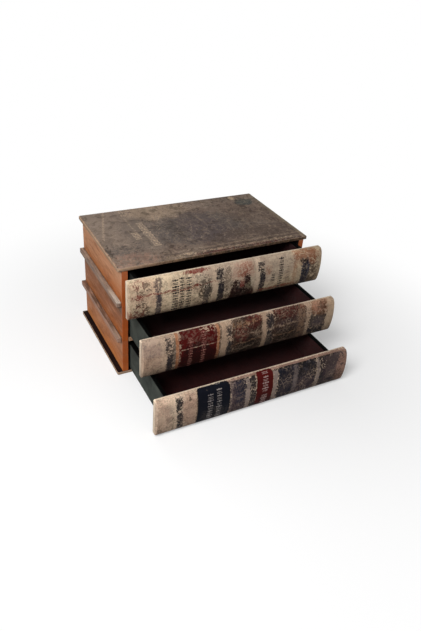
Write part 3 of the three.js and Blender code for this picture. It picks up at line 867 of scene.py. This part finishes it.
def endTree(graph, geometry, material):
    real = graph.value("GeometryNodeRealizeInstances", {0: geometry})
    coated = graph.value("GeometryNodeSetMaterial", {"Geometry": real, "Material": material})
    return graph.output("Geometry", "Geometry", coated)


archInputs = {
    "Arch radius": "Float", "Half height": "Float", "Middle height": "Float", "Edge depth": "Float",
    "Edge round": "Float", "Arched": "Float",
}
flat = {      # what is given where there is no arch
    "Arch radius": 1.0, "Half height": 0.0, "Middle height": 0.0, "Edge depth": 1.0, "Edge round": 1.0,
    "Arched": 0.0,
}


def archDepth(graph, given, local):
    # how far a spine reaches forward at a height from its middle: an arch, rounded off at both edges
    half, bend = given["Half height"], given["Edge round"]
    height = abs(local)
    toEdge = graph.math("MAXIMUM", half - height, 0.0)
    turned = graph.math("SQRT", graph.math("MINIMUM", toEdge / bend, 1.0))
    onArch = graph.math("MINIMUM", height, half - bend)
    squareRadius = given["Arch radius"] * given["Arch radius"]
    rise, foot = (graph.math("SQRT", squareRadius - place * place) for place in (onArch, half))
    short = 1.0 - turned
    return given["Edge depth"] - bend * (short * short) + (rise - foot) * (turned * turned)


def makeHideTree():
    # bends a flat tray to the arch of a spine and gives the hide its shallow hollows and swells
    graph, given = newTree("hideForm", dict(archInputs, **{
        "Back plane": "Float", "Relief": "Float", "Swell size": "Float", "Seed": "Float",
        "Leather": "Material",
    }))
    position = graph.value("GeometryNodeInputPosition")
    x, y, z = graph.separate(position)
    reach = archDepth(graph, given, z - given["Middle height"])
    stretch = (reach / given["Edge depth"] - 1.0) * given["Arched"] + 1.0
    bentY = (y - given["Back plane"]) * stretch + given["Back plane"]
    bent = graph.value("GeometryNodeSetPosition", {
        "Geometry": given["Geometry"], "Position": graph.combine(x, bentY, z),
    })
    where = position * (1 / mm) + graph.combine(given["Seed"], given["Seed"], given["Seed"])
    swell = graph.noise(where, 1.0 / given["Swell size"], 4.0, 0.6)
    normal = graph.value("GeometryNodeInputNormal")
    moved = graph.value("GeometryNodeSetPosition", {
        "Geometry": bent, "Offset": normal * ((swell - 0.5) * given["Relief"]),
    })
    return endTree(graph, moved, given["Leather"])


leafShape = {"groove": 0.2, "grooveDepth": 0.6, "waveAlong": 22 * mm, "waveIn": 30 * mm}


def makeLeafTree():
    # a block of leaves: every leaf edge stands in or out a little, with a fine groove between it and the next
    graph, given = newTree("leafBlock", {
        "Size": "Vector", "Centre": "Vector", "Leaf pitch": "Float", "Leaf relief": "Float",
        "Side": "Float", "Rows": "Int", "Columns": "Int", "Seed": "Float", "Paper": "Material",
    })
    cube = graph.value("GeometryNodeMeshCube", {
        "Size": given["Size"], "Vertices X": 2, "Vertices Y": given["Columns"], "Vertices Z": given["Rows"],
    })
    x, y, z = graph.separate(graph.value("GeometryNodeInputPosition"))
    wide, deep, tall = graph.separate(given["Size"])
    leaf = (tall * 0.5 + z) / given["Leaf pitch"] + 0.02
    groove = graph.math("LESS_THAN", graph.math("FRACT", leaf), leafShape["groove"])
    number = graph.math("FLOOR", leaf)
    where = graph.combine(number * 3.7 + given["Seed"], y / leafShape["waveAlong"], x / leafShape["waveIn"])
    depth = (groove * leafShape["grooveDepth"] + graph.noise(where, 1.0, 2.0)) * given["Leaf relief"]
    outer = graph.math("GREATER_THAN", x * given["Side"], 0.0)
    ends = graph.math("GREATER_THAN", abs(y), deep * 0.5 - 0.1 * mm)
    moveX = depth * outer * (given["Side"] * -1.0)
    moveY = depth * ends * (graph.math("SIGN", y) * -1.0)
    worked = graph.value("GeometryNodeSetPosition", {"Geometry": cube, "Offset": graph.combine(moveX, moveY)})
    moved = graph.value("GeometryNodeTransform", {"Geometry": worked, "Translation": given["Centre"]})
    return endTree(graph, moved, given["Paper"])


motifShape = {        # shares of the column's width or the motif's length, and the sizes it comes in
    "lozenge": 0.72, "dot": 0.14, "dotPlace": 0.43, "barPlace": 0.31, "smallest": 0.78, "largest": 1.06,
}


def makeToolingTree():
    # a column of small tooled motifs, lozenge and bars in turn, laid on a flat or arched face
    graph, given = newTree("tooledColumn", dict(archInputs, **{
        "Start": "Vector", "End": "Vector", "Pitch": "Float", "Width": "Float", "Length": "Float",
        "Thickness": "Float", "Weight": "Float", "Tilt": "Float", "Lost": "Float", "Seed": "Int",
        "Ink": "Material",
    }))
    width, length, thickness = given["Width"], given["Length"], given["Thickness"]
    line = graph.value("GeometryNodeMeshLine", {
        "Start Location": given["Start"], "Offset": given["End"], "Resolution": given["Pitch"],
    }, mode="END_POINTS", count_mode="RESOLUTION")
    z = graph.separate(graph.value("GeometryNodeInputPosition"))[2]
    local = z - given["Middle height"]
    back = (given["Edge depth"] - archDepth(graph, given, local)) * given["Arched"]
    placed = graph.value("GeometryNodeSetPosition", {"Geometry": line, "Offset": graph.combine(0.0, back)})
    above, below = (archDepth(graph, given, local + step * mm) for step in (0.5, -0.5))
    slope = graph.math("ARCTANGENT", (below - above) / (1.0 * mm))
    tilt = given["Tilt"] - slope * given["Arched"]

    def prism(sides, radius):
        return graph.value("GeometryNodeMeshCylinder", {"Vertices": sides, "Radius": radius, "Depth": 1.0})

    def sized(shape, size, place=(0.0, 0.0, 0.0)):
        return graph.value("GeometryNodeTransform", {"Geometry": shape, "Translation": place, "Scale": size})

    motif = [sized(prism(4, 0.5), graph.combine(width * motifShape["lozenge"], length, thickness))]
    bars = []
    for sign in (-1.0, 1.0):
        dotPlace = graph.combine(width * (motifShape["dotPlace"] * sign))
        barPlace = graph.combine(0.0, length * (motifShape["barPlace"] * sign))
        motif.append(sized(prism(8, motifShape["dot"]), graph.combine(width, width, thickness), dotPlace))
        bars.append(sized(graph.value("GeometryNodeMeshCube"),
                          graph.combine(width, length * given["Weight"], thickness), barPlace))
    choice = graph.gather("GeometryNodeGeometryToInstance",
                          [graph.gather("GeometryNodeJoinGeometry", parts) for parts in (motif, bars)])
    which = graph.math("MODULO", graph.value("GeometryNodeInputIndex"), 2.0)
    chance = graph.value("FunctionNodeRandomValue", {"Seed": given["Seed"]}, 1, data_type="FLOAT")
    size = graph.value("FunctionNodeRandomValue", {
        2: motifShape["smallest"], 3: motifShape["largest"], "Seed": given["Seed"] + 7.0,
    }, 1, data_type="FLOAT")
    rows = graph.value("GeometryNodeInstanceOnPoints", {
        "Points": placed, "Selection": graph.math("GREATER_THAN", chance, given["Lost"]), "Instance": choice,
        "Pick Instance": True, "Instance Index": which, "Rotation": graph.combine(tilt),
        "Scale": graph.combine(size, size, 1.0),
    })
    return endTree(graph, rows, given["Ink"])


hideTree = makeHideTree()
leafTree = makeLeafTree()
toolingTree = makeToolingTree()


def shapedBy(tree, name, mesh, values):
    # runs a tree on a mesh, and keeps the result as a plain mesh
    made = makeObject(name, mesh)
    modifier = made.modifiers.new("form", "NODES")
    modifier.node_group = tree
    for item in tree.interface.items_tree:
        if item.in_out == "INPUT" and item.name in values:
            modifier[item.identifier] = values[item.name]
    result = bpy.data.meshes.new_from_object(made.evaluated_get(bpy.context.evaluated_depsgraph_get()))
    made.modifiers.remove(modifier)
    used = result.materials[result.polygons[0].material_index]
    result.materials.clear()
    result.materials.append(used)
    result.polygons.foreach_set("material_index", [0] * len(result.polygons))
    made.data = result
    return made


def hide(name, form, spans, place, material, seedStep=0, arch=flat, backPlane=0.0):
    # a tray of leather or cloth, swelling and sinking a little, bent to an arch where one is given
    return shapedBy(hideTree, name, trayMesh(name, form, spans, place), dict(arch, **{
        "Back plane": backPlane, "Relief": form["relief"], "Swell size": form["swell"],
        "Seed": form["seed"] + seedStep, "Leather": material,
    }))


def standFor(piece, node, body):
    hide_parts(node)
    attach(piece, body)


def joined(name, parts):
    # several plain meshes as one object
    shape = bmesh.new()
    materials = []
    for part in parts:
        own = part.data.materials[0]
        if own not in materials:
            materials.append(own)
        start = len(shape.faces)
        shape.from_mesh(part.data)
        shape.faces.ensure_lookup_table()
        for face in shape.faces[start:]:
            face.material_index = materials.index(own)
        bpy.data.objects.remove(part)
    mesh = bpy.data.meshes.new(name)
    shape.to_mesh(mesh)
    shape.free()
    for material in materials:
        mesh.materials.append(material)
    return makeObject(name, mesh)


def coat(names, material):
    # a CAD piece keeps its shape and takes a new finish
    for name in names:
        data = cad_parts[name].data
        data.materials.clear()
        data.materials.append(material)


# Covers: printed hide drawn over a board, upper one face up and lower one face down

coverForm = {
    "gap": 0.12 * mm, "corner": 2.4 * mm, "edge": 0.9 * mm, "skin": 0.75 * mm, "step": 1.35 * mm,
    "relief": 0.26 * mm, "swell": 9.0, "seed": 3.0,
}
# the lowest cover is hardly seen, so its mesh is coarser and only the first patches are printed on it
lowerCover = {"step": 3.0 * mm, "patches": 6, "seedStep": 3}

coverScratches = [
    ("paleTan", (0.125, 0.99), (0.028, 0.46), 3.0, 0.36, 1.6, 0.3),
    ("paleTan", (0.415, 0.86), (0.345, 0.66), 2.2, 0.3, 2.0, 0.45),
    ("paleTan", (0.505, 0.56), (0.465, 0.40), 1.8, 0.25, 2.0, 0.5),
    ("paleTan", (0.71, 0.60), (0.68, 0.34), 1.2, 0.22, 1.4, 0.5),
    ("darkUmber", (0.165, 0.34), (0.115, 0.27), 2.2, 0.45, 2.0, 0.4),
]


def makeCover(name, up, form, seed, rows):
    node = f"{name}_cover_leather"
    low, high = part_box(node)
    middle = (low + high) / 2
    openZ = low.z if up > 0 else high.z
    leather = printedLeather(f"{name}CoverLeather", dict(coverLook, rows=rows, seed=seed), low, high, "XY")
    wrap = hide(f"{name}_cover_wrap", form, high - low,
                lambda a, b, w: (middle.x + a, middle.y + b, openZ + up * w), leather, up)
    standFor(wrap, node, "carcass")


def makeCovers():
    low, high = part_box("top_cover_leather")
    size = [(high.x - low.x) / mm, (high.y - low.y) / mm]
    scratches = [scratch(*row[:4], size, *row[4:]) for row in coverScratches]
    makeCover("top", 1, coverForm, coverLook["seed"], coverRows + scratches)
    makeCover("bottom", -1, dict(coverForm, step=lowerCover["step"]),
              coverLook["seed"] + lowerCover["seedStep"], coverRows[:lowerCover["patches"]])


makeCovers()
print("covers are wrapped")


# Page blocks: the end boards and the back, finished as the cut edges of leaves

pageForm = {"pitch": 1.05 * mm, "relief": 0.13 * mm, "columns": 44, "gap": 0.05 * mm, "seed": 5.0}

pageLook = {
    "bookPitch": 59.0, "bookFoot": 1.2, "inside": "15100e", "cover": "5c4a3e",
    "backInside": 81.8,              # where the back panel's inner face is
    # heights, and places from back to front, at which each stain and each painted shade starts and is full
    "faded": (128.0, 156.0), "dirty": (60.0, 84.0), "underLedge": (118.0, 116.0), "shade": (98.0, 116.0),
    "warm": (40.0, -70.0), "rust": (-83.0, -86.2),
}

inks.update({
    "leafLight": "b1764d", "leafMid": "9c5f3a", "leafDeep": "5e331d", "leafRosy": "a67a62",
    "leafAmber": "9a5a2a", "leafFaded": "c3926f", "leafWarm": "a4551d", "leafDirty": "63371d",
    "leafShade": "4f4438", "leafStain": "64371f", "leafPale": "c08862", "leafStreak": "6f3e26",
    "leafRubbed": "b98263", "leafGold": "c98049", "leafBleached": "dcb393", "leafRust": "a8501f",
})

# each row is an ink, the pattern it follows, where it starts, where it is full, and the most it covers
pageLayers = [
    ("leafDeep", "lines", 0.55, 0.95, 0.35), ("paleTan", "lines", 0.35, 0.05, 0.22),
    ("leafDeep", "stain", 0.6, 1.0, 0.4), ("leafRosy", "within", 0.5, 0.95, 0.5),
    ("leafAmber", "within", 0.42, 0.1, 0.5),
]
endLayers = [
    ("leafStain", "blotch", 0.5, 1.0, 0.55), ("leafPale", "blotch", 0.45, 0.0, 0.4),
    ("leafStreak", "streaks", 0.52, 0.95, 0.4), ("leafRubbed", "streaks", 0.42, 0.1, 0.3),
    ("leafGold", "wander", 26.0, 8.0, 0.5), ("leafBleached", "wander", 156.0, 174.0, 0.5),
]


def pageEdges(name, plane, insideAt):
    # plane "Y": leaf lines run along Y on an end board; "X": along X on the back
    # insideAt is where the board's inner face is, which is painted dark as shade for the inside of the
    # carcass
    graph = materialGraph(name)
    x, y, z = graph.separate(graph.place)
    run = y if plane == "Y" else x
    lines = graph.even(graph.combine(run * 0.012, 0.0, z * 0.9), 1.0, 3.0, 0.6)
    broad = graph.even(graph.place * (0.02, 0.02, 0.06), 1.0, 4.0, 0.55, 0.6)
    stain = graph.even(graph.place * (0.05, 0.018, 0.09), 1.0, 5.0, 0.6, 0.8)
    within = graph.math("FRACT", z / pageLook["bookPitch"])
    graph.ground(broad, "leafLight", "leafMid")
    graph.layers(pageLayers, lines=lines, stain=stain, within=within)
    if plane == "Y":
        # the top book is faded, and the middle one darker, partly print and partly painted shade, with a
        # painted shadow under the ledge above it
        graph.layer("leafFaded", broad * 14.0 + z, *pageLook["faded"], 0.55)
        graph.tint("leafWarm", graph.ramp(y, *pageLook["warm"]) * graph.ramp(within, 0.7, 0.2, 0.0, 0.5))
        wander = (stain - 0.5) * 16.0 + z
        dirty = graph.ramp(wander, *pageLook["dirty"]) * graph.ramp(z, *pageLook["underLedge"])
        # the middle block darker: partly print, partly painted shade
        graph.tint("leafDirty", dirty * 0.62)
        # painted shadow just under the ledge above the middle block
        graph.tint("leafShade", graph.ramp(stain * 8.0 + z, *pageLook["shade"], 0.0, 0.7) * dirty)
        blotch = graph.even(graph.place * (0.06, 0.03, 0.12), 1.0, 6.0, 0.7)
        streaks = graph.even(graph.place * (0.2, 0.015, 0.55), 1.0, 5.0, 0.65)
        graph.layers(endLayers, blotch=blotch, streaks=streaks, wander=wander)
        graph.tint("leafRust", graph.ramp(y, *pageLook["rust"]) * graph.ramp(blotch, 0.35, 0.85, 0.85, 0.5))
        # painted shade: the inner face of the end board is near-black
        graph.layer(pageLook["inside"], abs(x), insideAt + 0.5, insideAt + 0.2)
    else:
        # the covers between the books, printed across the back
        toCover = abs(graph.math("FRACT", (z - pageLook["bookFoot"]) / pageLook["bookPitch"]) - 0.5)
        ragged = graph.even(graph.place, 0.4, 4.0) * 0.008 + toCover
        graph.layer(pageLook["cover"], ragged, 0.448, 0.456)
        # painted shade: the inner face of the back is near-black
        graph.layer(pageLook["inside"], y, insideAt + 0.3, insideAt)
    graph.layer("darkUmber", graph.even(graph.place, 0.8, 5.0, 0.7), 0.78, 1.0, 0.35)
    height = lines * 0.8 + graph.noise(graph.place, 1.2, 4.0)
    roughness = graph.ramp(broad, 0.0, 1.0, 0.5, 0.7, shape="LINEAR")
    return finish(graph, roughness, height, 0.12, 0.15)


def makePagePanels():
    for name, side in (("left", -1.0), ("right", 1.0)):
        low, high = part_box(f"{name}_page_panel")
        inside = min(abs(low.x), abs(high.x)) / mm
        size = high - low - 2 * Vector((pageForm["gap"],) * 3)
        leaves = round(size.z / pageForm["pitch"])
        panel = shapedBy(leafTree, f"{name}_page_leaves", bpy.data.meshes.new("empty"), {
            "Size": size, "Centre": (low + high) / 2, "Leaf pitch": size.z / leaves,
            "Leaf relief": pageForm["relief"], "Side": side, "Rows": 3 * leaves + 1,
            "Columns": pageForm["columns"], "Seed": pageForm["seed"] + side,
            "Paper": pageEdges(f"{name}PageEdges", "Y", inside),
        })
        standFor(panel, f"{name}_page_panel", "carcass")
    coat(["back_panel"], pageEdges("backPageEdges", "X", pageLook["backInside"]))


makePagePanels()
print("page blocks are cut")


# Ledges that stand for the covers between the books

ledgeForm = {
    "gap": 0.1 * mm, "corner": 1.0 * mm, "edge": 0.8 * mm, "skin": None, "step": 1.6 * mm,
    "relief": 0.22 * mm, "swell": 6.0, "seed": 11.0,
}

ledgeLook = {
    "upper": {"top": ("7d685b", "937c6d"), "side": ("7b675c", "92796a"), "front": "c4b8aa", "line": "b3977f"},
    "lower": {"top": ("503a2c", "7d5a48"), "side": ("8e6f60", "a98876"), "front": "96806f", "line": "b8907a"},
}

ledgeWearAndShade = {      # millimetres at which a change starts and is full
    "front": (-30.0, -80.0), "side": (0.5, 1.3), "underside": (1.6, 0.4),
}


def ledgeLeather(name, look, low, high):
    graph = materialGraph(name)
    x, y, z = graph.separate(graph.place)
    cloud = graph.even(graph.place, 0.05, 5.0, 0.6, 0.5)
    streak = graph.even(graph.place * (0.5, 0.03, 0.5), 1.0, 4.0, 0.6)
    fleck = graph.even(graph.place, 0.7, 6.0, 0.7)
    side = graph.mix(cloud, *(colour(ink) for ink in look["side"]))
    graph.ground(cloud, *look["top"])
    graph.layer(look["front"], (fleck - 0.5) * 22.0 + y, *ledgeWearAndShade["front"], 0.8)
    graph.layer(side, high.z / mm - z, *ledgeWearAndShade["side"])
    graph.layer(look["line"], streak, 0.5, 0.85, 0.5)
    graph.layer("umber", streak, 0.42, 0.15, 0.45)
    graph.layer("darkUmber", fleck, 0.7, 1.0, 0.5)
    # painted shade: the underside of each ledge is darker
    graph.layer("umber", z - low.z / mm, *ledgeWearAndShade["underside"], 0.6)
    height = fleck * 0.5 + graph.noise(graph.place, 1.0, 6.0, 0.6)
    return finish(graph, graph.ramp(cloud, 0.0, 1.0, 0.55, 0.8), height, 0.18, 0.12)


def makeLedges():
    for side, out in (("left", -1), ("right", 1)):
        for level in ("lower", "upper"):
            node = f"{side}_{level}_strip"
            low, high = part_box(node)
            middle = (low + high) / 2
            backX = high.x if out < 0 else low.x
            leather = ledgeLeather(f"{side}{level.title()}Ledge", ledgeLook[level], low, high)
            ledge = hide(f"{side}_{level}_ledge", ledgeForm, (high - low).yzx,
                         lambda a, b, w: (backX + out * w, middle.y + a, middle.z + b), leather, out)
            standFor(ledge, node, "carcass")


makeLedges()
print("ledges are wrapped")


# Boards of the carcass

# the end papers and the shelves are painted near-black, as shade for the inside of the carcass
carcassLook = {"endPaper": ("0d0706", "22110d"), "shelf": ("1a1412", "2a201b"), "stripWidth": (1.1, 0.8)}


def endPaper(name):
    graph = materialGraph(name)
    fleck = graph.even(graph.place, 0.6, 6.0, 0.7)
    graph.ground(graph.even(graph.place, 0.04, 5.0, 0.6, 0.6), *carcassLook["endPaper"])
    graph.layer("darkUmber", fleck, 0.65, 1.0, 0.5)
    height = graph.noise(graph.place, 0.8, 6.0, 0.65)
    return finish(graph, graph.ramp(fleck, 0.0, 1.0, 0.7, 0.85), height, 0.08, 0.06)


def shelfPaper(name, frontY):
    # paper painted near-black as shade for the inside of the carcass, with a tan strip glued along the front
    # edge
    graph = materialGraph(name)
    fleck = graph.even(graph.place, 0.7, 6.0, 0.7)
    tan = graph.mix(graph.ramp(fleck, 0.4, 0.9), colour("tan"), colour("umber"))
    torn = fleck * 0.4 + graph.separate(graph.place)[1]
    graph.ground(graph.even(graph.place, 0.05, 5.0, 0.6, 0.6), *carcassLook["shelf"])
    graph.layer(tan, torn, *(frontY + width for width in carcassLook["stripWidth"]))
    height = graph.noise(graph.place, 0.8, 6.0, 0.65)
    return finish(graph, graph.ramp(fleck, 0.0, 1.0, 0.68, 0.85), height, 0.08, 0.25)


coat(["top_cover_board", "bottom_cover_board"], endPaper("coverLining"))
coat(["upper_divider", "lower_divider"], shelfPaper("shelfPaper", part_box("upper_divider")[0].y / mm))


# Spines: printed hide over an arched wooden front, with columns of small tooled motifs

spineForm = {
    "gap": 0.12 * mm, "corner": 1.4 * mm, "edge": 0.7 * mm, "skin": 0.6 * mm, "step": 1.25 * mm,
    "edgeDepth": 9.0 * mm, "round": 7.4 * mm, "relief": 0.24 * mm, "swell": 7.0, "seed": 20.0,
}

toolingForm = {
    "pitch": 4.4 * mm, "length": 3.6 * mm, "thickness": 0.16 * mm, "lost": 0.06, "proud": 0.02 * mm,
    "weight": {"ink": 0.32, "faint": 0.3, "gilt": 0.17, "dull": 0.2, "bright": 0.22},
}

# each ink's name, its two colours and how much of the first is left
toolInks = {
    "ink": ("darkTooling", "211a17", "4a3c32", 0.66), "faint": ("faintTooling", "6d5c4e", "a48d74", 0.5),
    "gilt": ("giltTooling", "8a817c", "37343a", 0.5), "dull": ("dullTooling", "94675a", "5a211d", 0.45),
    "bright": ("brightTooling", "a8908a", "6e463f", 0.55),
    "cover": ("coverTooling", "b39b80", "75665b", 0.55),
}


def toolInk(name, main, second, strength):
    # ink or leaf pressed into the hide and partly rubbed away again
    graph = materialGraph(name)
    rubbed = graph.even(graph.place, 0.55, 5.0, 0.7)
    graph.ground(graph.ramp(rubbed, strength, strength + 0.2), main, second)
    graph.layer(second, graph.even(graph.place, 0.12, 3.0), 0.4, 1.0, 0.4)
    height = graph.noise(graph.place, 1.2, 4.0)
    return finish(graph, graph.ramp(rubbed, 0.0, 1.0, 0.5, 0.75), height, 0.06, 0.35)


def column(name, form, start, end, width, weight, tilt, seed, ink, arch=flat):
    return shapedBy(toolingTree, name, bpy.data.meshes.new("empty"), dict(arch, **{
        "Start": start, "End": end, "Pitch": form["pitch"], "Width": width * mm, "Length": form["length"],
        "Thickness": form["thickness"], "Weight": weight, "Tilt": tilt, "Lost": form["lost"], "Seed": seed,
        "Ink": ink,
    }))


def makeSpine(name, inksMade):
    node = f"{name}_spine_leather"
    low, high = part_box(node)
    size = high - low
    middle = (low + high) / 2
    edgeDepth = spineForm["edgeDepth"]
    bulge = size.y - edgeDepth
    look = dict(spineWear, **spineLooks[name])
    arch = {
        "Arch radius": ((size.z / 2) ** 2 + bulge ** 2) / (2 * bulge), "Half height": size.z / 2,
        "Middle height": middle.z, "Edge depth": edgeDepth, "Edge round": spineForm["round"], "Arched": 1.0,
    }
    leather = printedLeather(f"{name}SpineLeather", look, low, high, "XZ")
    wrap = hide(f"{name}_spine_wrap", spineForm, (size.x, size.z, edgeDepth),
                lambda a, b, w: (middle.x + a, high.y - w, middle.z + b), leather, look["seed"], arch, high.y)
    standFor(wrap, node, f"{name}_drawer")

    faceY = high.y - edgeDepth + spineForm["gap"] - toolingForm["proud"]
    parts = []
    for number, (along, width, bottom, top, ink) in enumerate(look["columns"]):
        start, end = ((low.x + along * size.x, faceY, low.z + up * size.z) for up in (bottom, top))
        parts.append(column(f"{name}Column{number}", toolingForm, start, end, width,
                            toolingForm["weight"][ink], math.pi / 2, 10 * look["seed"] + number,
                            inksMade[ink], arch))
    tooling = joined(f"{name}_spine_tooling", parts)
    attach(tooling, f"{name}_drawer")


coverTooling = {
    "pitch": 4.6 * mm, "length": 3.4 * mm, "width": 11.0, "weight": 0.28, "seed": 60,
    "columns": [(0.255, 0.27, 0.71), (0.194, 0.42, 0.55)],      # along, front end, back end
}


def makeCoverTooling(ink):
    low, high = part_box("top_cover_leather")
    size = high - low
    z = high.z - coverForm["gap"] + toolingForm["proud"]
    form = dict(toolingForm, **coverTooling)
    parts = []
    for number, (along, front, back) in enumerate(form["columns"]):
        start, end = ((low.x + along * size.x, low.y + depth * size.y, z) for depth in (front, back))
        parts.append(column(f"coverColumn{number}", form, start, end, form["width"], form["weight"], 0.0,
                            form["seed"] + number, ink))
    tooling = joined("top_cover_tooling", parts)
    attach(tooling, "carcass")


inksMade = {name: toolInk(*recipe) for name, recipe in toolInks.items()}
for drawerName in drawerNames:
    makeSpine(drawerName, inksMade)
makeCoverTooling(inksMade["cover"])
print("spines are wrapped and tooled")


# Drawer boxes, linings and screws

boxLook = {
    "side": "50544e", "shade": "353835", "fleck": "6f756c", "rim": "050505", "rimDepth": 1.4,
    "tone": {"bottom": 1.0, "middle": 0.96, "top": 0.4},      # the top one is painted darker as shade, since it stands under the cover
}
feltLook = {"ground": ("2f0f0e", "220a0b"), "nap": "3b1614", "wornRim": (2.4, 1.2)}
woodLook = {"grain": ("7d5b3e", "5e412b"), "fleck": "3f2b1d"}
screwLook = {"steel": "b9b4a8", "spots": "6d5f4e"}


def boxPaint(name, rimZ, tone, lining):
    # lining is the CAD box of the wall lining: what the boards show above it is black, like their rims
    graph = materialGraph(name)
    place = graph.separate(graph.place)
    grain = graph.even(graph.place * (0.3, 0.05, 0.9), 1.0, 5.0, 0.6)
    fleck = graph.even(graph.place, 0.9, 5.0, 0.7)
    graph.ground(graph.even(graph.place, 0.03, 4.0, 0.6, 0.6), boxLook["side"], boxLook["shade"])
    graph.layer(boxLook["shade"], grain, 0.55, 1.0, 0.35)
    graph.layer(boxLook["fleck"], fleck, 0.8, 1.0, 0.3)
    # painted shade: a drawer's boards are darkened by its tone, most of all the top drawer's
    graph.shade(tone)
    rim = graph.ramp(fleck * 0.3 + place[2], rimZ - boxLook["rimDepth"], rimZ - boxLook["rimDepth"] * 0.5)
    within = []
    for axis in (0, 1):
        centre = (lining[0][axis] + lining[1][axis]) / 2 / mm
        half = (lining[1][axis] - lining[0][axis]) / 2 / mm
        within.append(graph.ramp(abs(place[axis] - centre), half + 0.5, half + 0.4))
    graph.tint(boxLook["rim"], graph.math("MAXIMUM", rim, within[0] * within[1]))
    height = grain * 0.6 + graph.noise(graph.place, 0.9, 5.0)
    return finish(graph, graph.ramp(fleck, 0.0, 1.0, 0.6, 0.8), height, 0.08, 0.02)


def felt(name, rimZ):
    # the cloth is black along its upper edge, like the rims of the boards
    graph = materialGraph(name)
    pile = graph.even(graph.place, 2.2, 4.0, 0.75)
    nap = graph.even(graph.place * (0.5, 0.12, 0.5), 1.0, 4.0, 0.6)
    graph.ground(graph.even(graph.place, 0.035, 4.0, 0.6, 0.8), *feltLook["ground"])
    graph.layer(feltLook["nap"], nap, 0.5, 1.0, 0.4)
    graph.layer(feltLook["nap"], pile, 0.6, 1.0, 0.35)
    rim = (rimZ - depth for depth in feltLook["wornRim"])
    graph.layer(boxLook["rim"], graph.separate(graph.place)[2], *rim)
    return finish(graph, 0.95, nap * 0.4 + pile, 0.22, 0.03, Sheen_Weight=0.05, Sheen_Roughness=0.5)


def fibreBoard(name):
    graph = materialGraph(name)
    grain = graph.even(graph.place * (0.06, 0.6, 0.6), 1.0, 6.0, 0.65, 0.4)
    fleck = graph.even(graph.place, 1.2, 5.0, 0.7)
    graph.ground(grain, *woodLook["grain"])
    graph.layer(woodLook["fleck"], fleck, 0.7, 1.0, 0.5)
    return finish(graph, graph.ramp(fleck, 0.0, 1.0, 0.7, 0.85), grain, 0.1, 0.25)


def screwSteel(name):
    graph = materialGraph(name)
    turned = graph.even(graph.place * (3.0, 0.3, 3.0), 1.0, 4.0)
    spot = graph.even(graph.place, 0.9, 5.0, 0.7)
    graph.ground(graph.ramp(spot, 0.55, 1.0), screwLook["steel"], screwLook["spots"])
    return finish(graph, graph.ramp(spot, 0.0, 1.0, 0.28, 0.55), turned, 0.03, Metallic=0.9)


liningForm = {
    "gap": 0.05 * mm, "corner": 0.5 * mm, "edge": 0.25 * mm, "skin": None, "step": 2.4 * mm,
    "relief": 0.2 * mm, "swell": 12.0, "seed": 40.0,
}


def makeDrawer(name, wood):
    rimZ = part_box(f"{name}_box_left_side")[1].z / mm
    boards = [f"{name}_box_{part}" for part in ("left_side", "right_side", "front", "back", "bottom")]
    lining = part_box(f"{name}_wall_lining")
    coat(boards, boxPaint(f"{name}BoxPaint", rimZ, boxLook["tone"][name], lining))
    coat([f"{name}_spine_core"], wood)
    cloth = felt(f"{name}WineFelt", rimZ)
    coat([f"{name}_wall_lining"], cloth)
    node = f"{name}_floor_lining"
    low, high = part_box(node)
    middle = (low + high) / 2
    sheet = hide(f"{name}_felt_sheet", liningForm, high - low,
                 lambda a, b, w: (middle.x + a, middle.y + b, low.z + w), cloth)
    standFor(sheet, node, f"{name}_drawer")


wood = fibreBoard("spineBoard")
for drawerName in drawerNames:
    makeDrawer(drawerName, wood)
coat([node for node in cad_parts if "_screw_" in node], screwSteel("screwSteel"))
print("drawers are lined")
